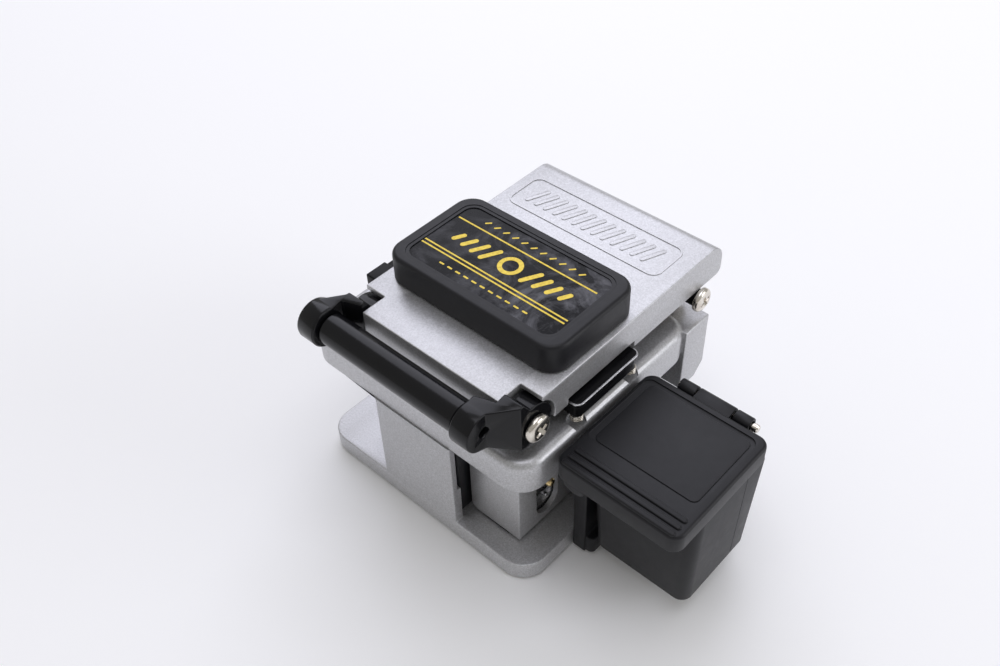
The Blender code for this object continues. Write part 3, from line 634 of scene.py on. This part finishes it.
def name_field(hi):
    """A raised outline on the lid's rear top with a row of slanted bars inside."""
    x0, y0, x1, y1 = FIELD
    length, width, lean = FIELD_BAR
    low = hi.z - 0.3
    high = hi.z + FRAME_RISE
    outline = slab("lid_name_outline", (x0, y0, low), (x1, y1, high), 2.4, top=0.08)
    cut(outline, slab("field", (x0 + FRAME_LINE, y0 + FRAME_LINE, low - 1),
                      (x1 - FRAME_LINE, y1 - FRAME_LINE, high + 1), 2.1))
    smooth(outline)
    add_on(outline, "lid_casting", "silver_paint")
    middle_x, middle_y = (x0 + x1) / 2, (y0 + y1) / 2
    for i in range(FIELD_BARS):
        x = middle_x + (i - (FIELD_BARS - 1) / 2) * FIELD_PITCH
        bar = prism("lid_name_bar_%02d" % i, "Z",
                    obround((x, middle_y), length, width, lean), low, high)
        soften(bar, 0.09, 2)
        add_on(bar, "lid_casting", "silver_paint")


# ------------------------------------------------------ rest pad and label

LABEL_CORNER = 3.0
LABEL_LAP = 0.5               # how far the frame laps over the printed plate
INK_RISE = 0.035
RULES = ((-0.2, -13.0, 23.8), (-9.75, -13.4, 24.4), (-10.75, -13.4, 24.4))   # y, x0, x1
RULE_HALF = 0.19
DOTS = (2.2, 2.5, 1.5, 45)    # y, pitch, length and lean of the upper row
DASHES = (-13.2, 2.2, 1.3, 0)          # the same for the lower row
ROW_COUNT = 11
ROW_WIDTH = 0.42
MOTIF_Y = -4.95
BAR_LEAN = 62
BAR_WIDTH = 1.1
RING_R = (1.7, 2.7)


def top_pad():
    lo, hi = span("top_pad")
    label_lo, label_hi = span("label_plate")
    outer = LABEL_CORNER + GAP
    pad = slab("rest_pad", lo, hi, 4.5, top=0.95, bottom=0.25)
    cut(pad, slab("pocket", *around("label_plate", GAP, label_lo.z - GAP, hi.z + PAST), outer))
    smooth(pad)
    ring = slab("rest_pad_frame", *around("label_plate", GAP, label_hi.z - 0.4, hi.z - 0.12),
                outer, top=0.05)
    cut(ring, slab("hole", *around("label_plate", -LABEL_LAP, label_lo.z - 2, hi.z + 2), 2.6))
    smooth(ring)
    add_on(ring, "top_pad", "black_plastic")
    place(pad, "top_pad")


def label():
    """The plate, its gold rules and a plain geometric motif."""
    lo, hi = span("label_plate")
    plate = slab("label_face", lo, hi, LABEL_CORNER, top=0.12)
    smooth(plate)
    place(plate, "label_plate")
    low, top = hi.z - 0.1, hi.z + INK_RISE
    middle = (lo.x + hi.x) / 2
    ink = [box("rule", (x0, y - RULE_HALF, low), (x1, y + RULE_HALF, top)) for y, x0, x1 in RULES]
    for i in range(ROW_COUNT):
        for y, pitch, length, lean in (DOTS, DASHES):
            spot = (middle + (i - (ROW_COUNT - 1) / 2) * pitch, y)
            ink.append(prism("dash", "Z", obround(spot, length, ROW_WIDTH, lean), low, top))
    for side in (-1, 1):
        for i in range(4):
            spot = (middle + side * (5.4 + 2.9 * i), MOTIF_Y)
            outline = obround(spot, 5.4 - 0.7 * i, BAR_WIDTH, BAR_LEAN)
            ink.append(prism("bar", "Z", outline, low, top))
    disc = rod("disc", "Z", low, top, (middle, MOTIF_Y), RING_R[1])
    cut(disc, rod("hole", "Z", hi.z - PAST, top + PAST, (middle, MOTIF_Y), RING_R[0]))
    ink.append(disc)
    bm = bmesh.new()
    for item in ink:
        bm.from_mesh(item.data)
    mesh = bpy.data.meshes.new("label_ink")
    bm.to_mesh(mesh)
    bm.free()
    for item in ink:
        bpy.data.objects.remove(item, do_unlink=True)
    add_on(linked("label_ink", mesh), "label_plate", "label", "gold")


# ------------------------------------------------------------------ screws

SHANK_R = 1.1
DOME = 0.42                   # share of a pan head's height and radius below and inside its dome
RECESS = (1.18, 0.42)         # width and depth of the driver recess, in head radii


def cross_recess(way, at, outward, width, depth, spin):
    """A tapered cross that cuts the driver recess of a Phillips screw."""
    arm = width / 2
    web = width * 0.14
    plus = [(arm, -web), (arm, web), (web, web), (web, arm), (-web, arm), (-web, web),
            (-arm, web), (-arm, -web), (-web, -web), (-web, -arm), (web, -arm), (web, -web)]
    bm = bmesh.new()
    face = bm.faces.new([bm.verts.new((u, v, 0.4)) for u, v in plus])
    grown = bmesh.ops.extrude_face_region(bm, geom=[face])
    far = [item for item in grown["geom"] if isinstance(item, bmesh.types.BMVert)]
    bmesh.ops.translate(bm, vec=(0, 0, -depth - 0.4), verts=far)
    bmesh.ops.scale(bm, vec=(0.55, 0.55, 1.0), verts=far)
    flip = Matrix.Rotation(math.pi, 4, "X") if outward < 0 else Matrix.Identity(4)
    turn = Matrix.Rotation(math.radians(spin), 4, "Z")
    bmesh.ops.transform(bm, matrix=Matrix.Translation(at) @ TURN[way] @ flip @ turn,
                        verts=bm.verts)
    return made("recess", bm)


def screw(node, way, outward, spin, head_t=None):
    """A Phillips screw in the space of its CAD node: domed head or, with no head_t, flush."""
    lo, hi = span(node)
    centre = (lo + hi) / 2
    axis = "XYZ".index(way)
    others = [i for i in range(3) if i != axis]
    head_r = max((hi[i] - lo[i]) / 2 for i in others)
    outer, inner = (hi[axis], lo[axis]) if outward > 0 else (lo[axis], hi[axis])
    origin = Vector(centre)
    origin[axis] = 0.0
    if head_t is None:
        profile = [(inner, 0), (inner, head_r * 0.96), (outer - outward * 0.18, head_r),
                   (outer, head_r - 0.18), (outer, 0)]
    else:
        under = outer - outward * head_t
        profile = [(inner, 0), (inner + outward * 0.2, SHANK_R), (under, SHANK_R),
                   (under, head_r - 0.12), (under + outward * 0.12, head_r),
                   (under + outward * head_t * DOME, head_r)]
        for i in range(1, 9):
            angle = math.radians(90 * i / 8)
            profile.append((under + outward * head_t * (DOME + (1 - DOME) * math.sin(angle)),
                            head_r * (DOME + (1 - DOME) * math.cos(angle)) if i < 8 else 0.0))
    body = turned(node + "_body", way, tuple(origin), profile)
    spot = list(centre)
    spot[axis] = outer
    cut(body, cross_recess(way, spot, outward, head_r * RECESS[0], head_r * RECESS[1], spin))
    soften(body, 0.05, 2, 25)
    place(body, node)


def screws():
    for node, outward, spin in (("hinge_screw_right", 1, 20), ("hinge_screw_left", -1, 40),
                                ("handle_screw_right", 1, 32), ("handle_screw_left", -1, 5)):
        screw(node, "X", outward, spin, 1.6)
    for node, spin in (("bracket_screw_front", 15), ("bracket_screw_rear", 60)):
        screw(node, "X", 1, spin)
    for node, spin in (("guide_screw_front", 10), ("guide_screw_rear", 52),
                       ("slide_screw_front", 33), ("slide_screw_rear", 71)):
        screw(node, "Z", 1, spin)


# ------------------------------------------------------------------ handle

GRIP_CAP_R = 4.5
AXLE_HOLE_R = 1.15
KNUCKLE_R = 5.2
KNUCKLE_W = 4.7
CAP_W = 4.8
ARM_W = 9.2                   # from the cap's left face to the knuckle's right one
SHOULDER = (-27.6, 53.9)      # top rear corner of the arms, (y, z)
SHOULDER_FOOT = 100.0         # where the shoulder meets the knuckle, degrees
ARM_EDGE = 0.3
CAP_RIM = 0.15                # how far the left cap stands proud of its arm
GRIP_R = 3.5
GRIP_CHAMFER = 0.4


def handle():
    grip_lo, grip_hi = span("grip_bar")
    grip = centre_of("grip_bar", "yz")
    knuckle = pivot("handle_pivot")
    right_lo, right_hi = span("handle_arm_right")
    left_lo, left_hi = span("handle_arm_left")
    run = Vector(knuckle) - Vector(grip)
    lean = math.degrees(math.atan2(run.y, run.x))
    splay = math.degrees(math.acos((GRIP_CAP_R - KNUCKLE_R) / run.length))
    side_view = (arc(grip, GRIP_CAP_R, lean + splay, lean + 360 - splay, 36)
                 + arc(knuckle, KNUCKLE_R, lean - splay, SHOULDER_FOOT, 28) + [SHOULDER])
    lap = span("lid_casting")[0].y - 1.0          # just clear of the lid's front face
    # For each arm its x range, then the bends in the right and the left edge of its plan,
    # as (x from the arm's left face, y).
    shapes = {"right": (right_lo.x, right_hi.x, ((CAP_W, grip[0] + 0.8), (ARM_W, grip[0] + 5.2)),
                        ((ARM_W - KNUCKLE_W, lap), (0.0, grip[0] + 2.6))),
              "left": (left_lo.x + 0.2, left_hi.x, ((CAP_W, lap), (ARM_W, lap + 1.4)),
                       ((ARM_W - KNUCKLE_W, grip[0] + 5.6), (0.0, grip[0] + 0.9)))}
    for side, (x0, x1, right_edge, left_edge) in shapes.items():
        plan = [(0.0, grip[0] - 6), (CAP_W, grip[0] - 6), *right_edge, (ARM_W, knuckle[0] + 6),
                (ARM_W - KNUCKLE_W, knuckle[0] + 6), *left_edge]
        arm = prism("handle_cap_" + side, "X", side_view, x0, x1)
        combine(arm, "INTERSECT", prism("plan", "Z", [(x0 + x, y) for x, y in plan],
                                        grip[1] - 12, grip[1] + 12))
        cut(arm, rod("axle_hole", "X", x0 - PAST, x0 + CAP_W + PAST, grip, AXLE_HOLE_R),
            rod("screw_hole", "X", x1 - KNUCKLE_W - PAST, x1 + PAST, knuckle, BORE_R))
        soften(arm, ARM_EDGE)
        place(arm, "handle_arm_" + side)

    outer = GRIP_CAP_R + CAP_RIM
    start, end = left_lo.x, left_lo.x + CAP_W
    cap = turned("handle_cap_rim", "X", (0, *grip),
                 [(start, AXLE_HOLE_R), (start, outer - 0.5), (start + 0.15, outer - 0.15),
                  (start + 0.5, outer), (end - 0.25, outer), (end, outer - 0.25),
                  (end, AXLE_HOLE_R), (start, AXLE_HOLE_R)], 96)
    smooth(cap)
    add_on(cap, "handle_arm_left", "black_paint")

    bar = turned("grip_tube", "X", (0, *grip),
                 ring_profile(grip_lo.x, grip_hi.x, BORE_R, GRIP_R, GRIP_CHAMFER), 96)
    smooth(bar)
    place(bar, "grip_bar")


# -------------------------------------------------------- clamps and hinge

SPRING_WIRE = 0.2             # radius of the wire
SPRING_TURNS = 3.25
SPRING_STEPS = 24             # points in one turn
STEM_R = 0.75


def springs():
    """Open coils under the outer end of the right clamp."""
    for end in ("front", "rear"):
        node = "clamp_spring_" + end
        lo, hi = span(node)
        x, y = centre_of(node, "xy")
        reach = (hi.x - lo.x) / 2 - SPRING_WIRE
        low, high = lo.z - 0.15, hi.z + 0.2
        curve = bpy.data.curves.new(node + "_coil", "CURVE")
        curve.dimensions = "3D"
        curve.bevel_depth = SPRING_WIRE * MM
        curve.bevel_resolution = 4
        curve.use_fill_caps = True
        spline = curve.splines.new("POLY")
        count = int(SPRING_TURNS * SPRING_STEPS)
        spline.points.add(count)
        for i, point in enumerate(spline.points):
            angle = 2 * math.pi * i / SPRING_STEPS
            rise = low + SPRING_WIRE + (high - low - 2 * SPRING_WIRE) * i / count
            point.co = ((x + reach * math.cos(angle)) * MM, (y + reach * math.sin(angle)) * MM,
                        rise * MM, 1.0)
        drawn = linked("coil", curve)
        bpy.context.view_layer.update()
        graph = bpy.context.evaluated_depsgraph_get()
        mesh = bpy.data.meshes.new_from_object(drawn.evaluated_get(graph))
        bpy.data.objects.remove(drawn, do_unlink=True)
        mesh.shade_smooth()
        place(linked(node + "_coil", mesh), node)
        stem = turned(node + "_stem", "Z", (x, y, 0),
                      [(low, 0), (low, STEM_R), (hi.z + 0.3, STEM_R), (hi.z + 0.3, 0)], 32)
        smooth(stem)
        add_on(stem, node, "steel")


CLAMP_CORNER = 1.6
CLAMP_HIGHLIGHT_W = 0.3             # width of the steel band round a clamp plate's top edge, a painted highlight
CLAMP_HIGHLIGHT_H = 0.28
CLAMP_HIGHLIGHT_PROUD = 0.03


def clamps():
    for side in ("right", "left"):
        node = "clamp_plate_" + side
        lo, hi = span(node)
        plate = slab("clamp_spreader_" + side, lo, hi, CLAMP_CORNER, top=0.22, bottom=0.22)
        smooth(plate)
        # The plate takes a black look in place of its steel finish: painted shade, for its top lying in the lid's
        # shadow and reflecting the lid's dark underside.
        place(plate, node, look="black_anodised")
        # A thin steel band round the plate's top edge: painted highlight for the edge catching light.
        rim = slab("clamp_painted_highlight_" + side,
                   *around(node, CLAMP_HIGHLIGHT_PROUD, hi.z - CLAMP_HIGHLIGHT_H, hi.z + CLAMP_HIGHLIGHT_PROUD),
                   CLAMP_CORNER + CLAMP_HIGHLIGHT_PROUD, top=0.12)
        cut(rim, slab("hole", *around(node, -CLAMP_HIGHLIGHT_W, lo.z, hi.z + PAST),
                      CLAMP_CORNER - CLAMP_HIGHLIGHT_W))
        smooth(rim)
        add_on(rim, node, "steel")
        lo, hi = span("clamp_bar_" + side)
        bar = slab("clamp_jaw_" + side, lo, hi, 1.4, top=0.3, bottom=0.3)
        smooth(bar)
        place(bar, "clamp_bar_" + side)
        lo, hi = span("clamp_rubber_" + side)
        pad = box("clamp_pad_" + side, lo, hi, 0.25)
        smooth(pad)
        place(pad, "clamp_rubber_" + side)
        lo, hi = span("lower_pad_" + side)
        pad = slab("fibre_pad_" + side, lo, hi, 0.9, top=0.3)
        smooth(pad)
        place(pad, "lower_pad_" + side)


def hinge():
    """Rings and sleeves on the lid's hinge shaft."""
    for node, kind, chamfer, sides in (("hinge_ring_inner", "washer", 0.2, 96),
                                       ("hinge_ring_outer", "washer", 0.2, 96),
                                       ("hinge_bushing_right", "sleeve", 0.15, 64),
                                       ("hinge_bushing_left", "sleeve", 0.15, 64)):
        lo, hi = span(node)
        ring = turned("%s_%s" % (node, kind), "X", (0, *pivot("lid_hinge")),
                      ring_profile(lo.x, hi.x, BORE_R, (hi.y - lo.y) / 2, chamfer), sides)
        smooth(ring)
        place(ring, node)


BAR_HEAD = 5.4                # length of the press bar's full-height front part
BAR_STEP = 0.9


def press_bar():
    lo, hi = span("press_bar")
    bar = box("side_bar", lo, hi)
    cut(bar, box("step", (lo.x - PAST, lo.y + BAR_HEAD, hi.z - BAR_STEP),
                 (hi.x + PAST, hi.y + PAST, hi.z + PAST)))
    soften(bar, 0.3)
    place(bar, "press_bar")
    lo, hi = span("press_foot")
    foot = box("side_foot", lo, hi, 0.5)
    smooth(foot)
    place(foot, "press_foot")


FIBRE_Y = -4.9
VEE_HALF = 1.0
VEE_DEPTH = 0.9
GUIDE_SCREW_BORE = 1.9


def fibre_guide():
    lo, hi = span("fiber_guide_plate")
    plate = slab("fibre_plate", lo, hi, 1.5, top=0.4)
    vee = [(FIBRE_Y - VEE_HALF, hi.z + 0.1), (FIBRE_Y + VEE_HALF, hi.z + 0.1),
           (FIBRE_Y, hi.z - VEE_DEPTH)]
    tools = [prism("vee", "X", vee, lo.x - PAST, hi.x + PAST)]
    for end in ("front", "rear"):
        node = "guide_screw_" + end
        tools.append(rod("counterbore", "Z", span(node)[0].z - GAP, hi.z + PAST,
                         centre_of(node, "xy"), GUIDE_SCREW_BORE))
    cut(plate, *tools)
    smooth(plate)
    place(plate, "fiber_guide_plate")


# ---------------------------------------------------------------- carriage

CARRIAGE_FOOT_R = 1.8
SLOT_Y = -16.0                # middle of the slot in the carriage's right face
SLOT_R = 3.5
SLOT_Z = (11.0, 19.5)         # centres of the slot's round ends
SLOT_DEPTH = 3.5
SLOT_SHADE_SHEET = (3.45, 3.15)          # depths of the back and face of the black sheet in the slot, painted shade
PIN = (3.2, 0.6, 0.55)        # depths of the slot pin's ends, and its radius
HUB_R = 3.1
WHEEL_BEVEL = 1.2             # radial width of the wheel's sharp rim
TIP_R = 1.0


def carriage():
    lo, hi = span("carriage_block")
    blade_lo, blade_hi = span("blade_wheel")
    bearing_lo, bearing_hi = span("carriage_bearing")
    bm = cube(lo, hi)
    round_edges(bm, lambda mid, way: abs(way.y) > 0.9 and mid.x < lo.x + 0.1
                and mid.z < lo.z + 0.1, CARRIAGE_FOOT_R, 8)
    block = made("carriage_body", bm)
    soften(block, 0.25, 3, 40)
    outline = (arc((SLOT_Y, SLOT_Z[0]), SLOT_R, 180, 360, 24)
               + arc((SLOT_Y, SLOT_Z[1]), SLOT_R, 0, 180, 24))
    blade_at = centre_of("blade_wheel", "yz")
    cut(block,
        prism("side_slot", "X", outline, hi.x - SLOT_DEPTH, hi.x + PAST),
        box("bearing_pocket", (bearing_lo.x - GAP, bearing_lo.y - GAP, lo.z - PAST),
            (bearing_hi.x + GAP, hi.y + PAST, bearing_hi.z + GAP)),
        box("wheel_slot", (blade_lo.x - 0.8, blade_lo.y - 0.4, blade_lo.z - 0.4),
            (blade_hi.x + 0.9, blade_hi.y + 0.4, hi.z + PAST)),
        rod("axle_bore", "X", lo.x + 0.5, hi.x + PAST, blade_at, BORE_R))
    smooth(block)
    place(block, "carriage_block")
    # A black sheet set near the back of the side slot: painted shade for the slot's dark inside.
    slot_shade_sheet = prism("carriage_slot_painted_shade", "X", outline, hi.x - SLOT_SHADE_SHEET[0], hi.x - SLOT_SHADE_SHEET[1])
    smooth(slot_shade_sheet)
    add_on(slot_shade_sheet, "carriage_block", "black_plastic")
    pin = rod("carriage_slot_pin", "X", hi.x - PIN[0], hi.x - PIN[1], (SLOT_Y + 0.6, 11.6),
              PIN[2], edge=0.15, sides=32)
    smooth(pin)
    add_on(pin, "carriage_block", "steel")

    wheel_x = (blade_lo.x + blade_hi.x) / 2
    half = (blade_hi.x - blade_lo.x) / 2
    radius = (blade_hi.y - blade_lo.y) / 2
    wheel = turned("cutting_wheel", "X", (0, *blade_at),
                   [(wheel_x - half, HUB_R), (wheel_x - half, radius - WHEEL_BEVEL),
                    (wheel_x, radius), (wheel_x + half, radius - WHEEL_BEVEL),
                    (wheel_x + half, HUB_R), (wheel_x - half, HUB_R)], 128)
    smooth(wheel, 12)
    place(wheel, "blade_wheel")

    lo, hi = span("height_screw")
    tip = turned("height_screw_body", "X", (0, *centre_of("height_screw", "yz")),
                 [(lo.x, 0), (lo.x, TIP_R), (hi.x - 0.5, TIP_R), (hi.x - 0.15, TIP_R - 0.15),
                  (hi.x, TIP_R - 0.4), (hi.x, 0)], 48)
    smooth(tip)
    place(tip, "height_screw")


# --------------------------------------------------------------------- bin

BIN_DRAFT = (1.8, 0.6, 0.3, 1.6)       # how far each side leans in at the foot
BIN_CORNER = 2.6
BIN_TOP = 32.6
BIN_WALL = 1.3
BIN_BACK = 1.1                # from the bin's back to its hinge line
SEAM_Y = 1.0
SEAM_DEPTH = 0.78
BIN_KNUCKLES = {"left": (38.7, 42.7), "right": (51.9, 55.7)}
BIN_KNUCKLE_Z = (29.0, 31.2, 33.6, 32.2)        # the web's foot, its two bends and its top
LID_KNUCKLE = (43.0, 51.6)
LID_KNUCKLE_R = 1.6
PIN_BORE = 1.0
PIN_R = 0.7
PIN_HEAD = (1.2, 0.9)         # length and radius
BRACKET_FACE = 35.1           # x of the bracket's right face, above its foot
BRACKET_FOOT = 5.9
BRACKET_BORE = (37.0, 2.0)    # right end and radius of the bracket's screw pockets
COVER_SKIRT = 33.0            # height of the bin lid's lower edge
COVER_TOP = 37.5
COVER_BACK = 7.8
COVER_WALL = 1.6
PANEL = (33.3, -14.7, 59.6, 6.1)       # sunk panel in the bin lid: x0, y0, x1, y1
PANEL_DEPTH = 0.35
STEP_IN = (1.5, 0.65, 0.75, 0.9)       # from the panel's edges to the step in it: x0, y0, x1, y1
STEP_DEPTH = 0.16
RIDGES = (-22.25, -20.45, -18.55)
RIDGE_X = 47.05
RIDGE_LENGTH = 26.2
RIDGE_W = 1.2
RIDGE_RISE = 0.42
TAB = (34.6, 39.8)            # finger tab under the lid's front, x
TAB_R = 1.8


def bin_box():
    lo, hi = span("offcut_bin")
    hinge_y, hinge_z = pivot("bin_lid_hinge")
    back = hinge_y - BIN_BACK
    shell = slab("bin_shell", (lo.x, lo.y, lo.z), (hi.x, back, BIN_TOP), BIN_CORNER,
                 draft=BIN_DRAFT)
    soften(shell, 0.35, 3, 40)
    cut(shell, slab("inside", (lo.x + BIN_WALL, lo.y + BIN_WALL, lo.z + BIN_WALL),
                    (hi.x - BIN_WALL, back - BIN_WALL, BIN_TOP + PAST), 1.5, draft=BIN_DRAFT))
    cut(shell, box("seam", (hi.x - SEAM_DEPTH, SEAM_Y - 0.07, lo.z + 1),
                   (hi.x + PAST, SEAM_Y + 0.07, BIN_TOP + PAST)))
    smooth(shell)
    place(shell, "offcut_bin")
    radius = hi.z - hinge_z
    for name, (left, right) in BIN_KNUCKLES.items():
        foot, bend, shoulder, web_top = BIN_KNUCKLE_Z
        outline = [(back - 0.5, foot), (hinge_y + radius * 0.35, bend), (hinge_y + radius, shoulder)]
        outline += arc((hinge_y, hinge_z), radius, 0, 180, 24)
        outline += [(hinge_y - radius, web_top), (back - 0.5, web_top)]
        knuckle = prism("bin_knuckle_" + name, "X", outline, left, right)
        cut(knuckle, rod("bore", "X", left - PAST, right + PAST, (hinge_y, hinge_z), PIN_BORE))
        soften(knuckle, 0.2, 2)
        add_on(knuckle, "offcut_bin", "black_plastic")

    lo, hi = span("bin_hinge_pin")
    neck = hi.x - PIN_HEAD[0]
    pin = turned("bin_pin", "X", (0, hinge_y, hinge_z),
                 [(lo.x, 0), (lo.x, PIN_R), (neck, PIN_R), (neck, PIN_HEAD[1]),
                  (hi.x - 0.25, PIN_HEAD[1]), (hi.x, PIN_HEAD[1] - 0.25), (hi.x, 0)], 32)
    smooth(pin)
    place(pin, "bin_hinge_pin")

    lo, hi = span("bin_bracket")
    bracket = box("bracket_plate", lo, (BRACKET_FACE, hi.y, hi.z))
    join(bracket, slab("foot", (lo.x + 0.6, lo.y + 0.4, lo.z + 0.2),
                       (hi.x, hi.y - 0.4, BRACKET_FOOT), 1.2))
    soften(bracket, 0.35)
    for end in ("front", "rear"):
        node = "bracket_screw_" + end
        cut(bracket, rod("counterbore", "X", span(node)[0].x - GAP, BRACKET_BORE[0],
                         centre_of(node, "yz"), BRACKET_BORE[1]))
    smooth(bracket)
    place(bracket, "bin_bracket")


def bin_lid():
    lo, hi = span("bin_lid")
    hinge_y, hinge_z = pivot("bin_lid_hinge")
    top = COVER_TOP
    cover = slab("bin_cover", (lo.x, lo.y, COVER_SKIRT), (hi.x, COVER_BACK, top), BIN_CORNER,
                 top=0.75, bottom=0.25)
    cut(cover,
        slab("inside", (lo.x + COVER_WALL, lo.y + COVER_WALL, COVER_SKIRT - PAST),
             (hi.x - COVER_WALL, COVER_BACK - COVER_WALL, top - 1.8), 1.2),
        slab("panel", (*PANEL[:2], top - PANEL_DEPTH), (*PANEL[2:], top + PAST), 1.8,
             bottom=0.15))
    smooth(cover)
    place(cover, "bin_lid")
    x0, y0, x1, y1 = PANEL
    step = slab("bin_cover_panel", (x0 + STEP_IN[0], y0 + STEP_IN[1], top - 1.0),
                (x1 - STEP_IN[2], y1 - STEP_IN[3], top - STEP_DEPTH), 1.4, top=0.14)
    smooth(step)
    add_on(step, "bin_lid", "black_plastic")
    for i, y in enumerate(RIDGES):
        ridge = prism("bin_cover_ridge_%d" % i, "Z", obround((RIDGE_X, y), RIDGE_LENGTH, RIDGE_W),
                      top - 0.5, top + RIDGE_RISE)
        soften(ridge, 0.3, 3)
        add_on(ridge, "bin_lid", "black_plastic")
    left, right = TAB
    root = COVER_SKIRT + 0.6
    foot = lo.z + TAB_R
    outline = [(right, root), (left, root)]
    outline += arc((left + TAB_R, foot), TAB_R, 180, 270, 8)
    outline += arc((right - TAB_R, foot), TAB_R, 270, 360, 8)
    tab = prism("bin_cover_tab", "Y", outline, lo.y + 0.3, lo.y + 1.5)
    soften(tab, 0.2, 2)
    add_on(tab, "bin_lid", "black_plastic")
    knuckle = prism("bin_cover_knuckle", "X",
                    [(COVER_BACK - 0.6, hinge_z - 1.2), (hinge_y, hinge_z - LID_KNUCKLE_R)]
                    + arc((hinge_y, hinge_z), LID_KNUCKLE_R, -80, 90, 18)
                    + [(COVER_BACK - 0.6, hinge_z + 1.3)], *LID_KNUCKLE)
    cut(knuckle, rod("bore", "X", LID_KNUCKLE[0] - PAST, LID_KNUCKLE[1] + PAST,
                     (hinge_y, hinge_z), PIN_BORE))
    soften(knuckle, 0.2, 2)
    add_on(knuckle, "bin_lid", "black_plastic")


# ------------------------------------------------- nodes kept from the CAD

def kept_nodes():
    """Finish every CAD node that still shows: its look and softly broken edges."""
    for node, obj in frame["nodes"].items():
        if obj.hide_render:
            continue
        obj.data.materials.clear()
        obj.data.materials.append(LOOK[SLOT_OF[node]])
        weld = obj.modifiers.new("weld", "WELD")
        weld.merge_threshold = 0.000002
        bevel = obj.modifiers.new("soft_edges", "BEVEL")
        bevel.width = 0.15 * MM
        bevel.segments = 2
        bevel.limit_method = "ANGLE"
        bevel.angle_limit = math.radians(40)


# ----------------------------------------------------- camera, light, room

CAMERA_AT = (0.11542, -0.12280, 0.19748)
CAMERA_TURN = (45.760, 1.586, 42.331)        # degrees about X, Y and Z
LENS = 38.49


def camera():
    data = bpy.data.cameras.new("camera")
    data.lens = LENS
    data.sensor_width = 36.0
    data.clip_start = 0.01
    data.clip_end = 10.0
    obj = linked("camera", data)
    obj.location = CAMERA_AT
    obj.rotation_euler = [math.radians(a) for a in CAMERA_TURN]
    bpy.context.scene.camera = obj


def lamp(name, at, aim, size, power, colour):
    data = bpy.data.lights.new(name, "AREA")
    data.shape = "RECTANGLE"
    data.size, data.size_y = size
    data.energy = power
    data.color = colour
    obj = linked(name, data)
    obj.location = at
    obj.rotation_euler = (Vector(aim) - Vector(at)).to_track_quat("-Z", "Y").to_euler()


def room():
    bm = bmesh.new()
    bmesh.ops.create_grid(bm, x_segments=1, y_segments=1, size=4.0)
    mesh = bpy.data.meshes.new("floor")
    bm.to_mesh(mesh)
    bm.free()
    floor = linked("floor", mesh)
    floor.location = (0, 0, -0.0002)
    mat = bpy.data.materials.new("floor")
    mat.use_nodes = True
    paint = mat.node_tree.nodes["Principled BSDF"].inputs
    paint["Base Color"].default_value = (0.97, 0.97, 0.97, 1)
    paint["Roughness"].default_value = 0.9
    floor.data.materials.append(mat)

    world = bpy.data.worlds.new("studio")
    world.use_nodes = True
    back = world.node_tree.nodes["Background"]
    back.inputs["Color"].default_value = (1.0, 0.985, 0.955, 1.0)
    back.inputs["Strength"].default_value = 0.42
    bpy.context.scene.world = world
    lamp("key", (-0.42, 0.46, 0.66), (0.0, 0.0, 0.03), (0.85, 0.7), 3.7, (0.86, 0.87, 1.0))
    lamp("top", (0.10, -0.05, 1.0), (0.0, 0.0, 0.03), (0.7, 0.7), 3.0, (0.90, 0.905, 1.0))
    lamp("side", (0.72, 0.38, 0.32), (0.01, 0.0, 0.03), (0.45, 0.4), 1.7, (0.94, 0.95, 1.0))
    bpy.context.scene.view_settings.view_transform = "Standard"


camera()
body_casting()
lid_casting()
top_pad()
label()
screws()
handle()
springs()
clamps()
hinge()
press_bar()
fibre_guide()
carriage()
bin_box()
bin_lid()
kept_nodes()
room()
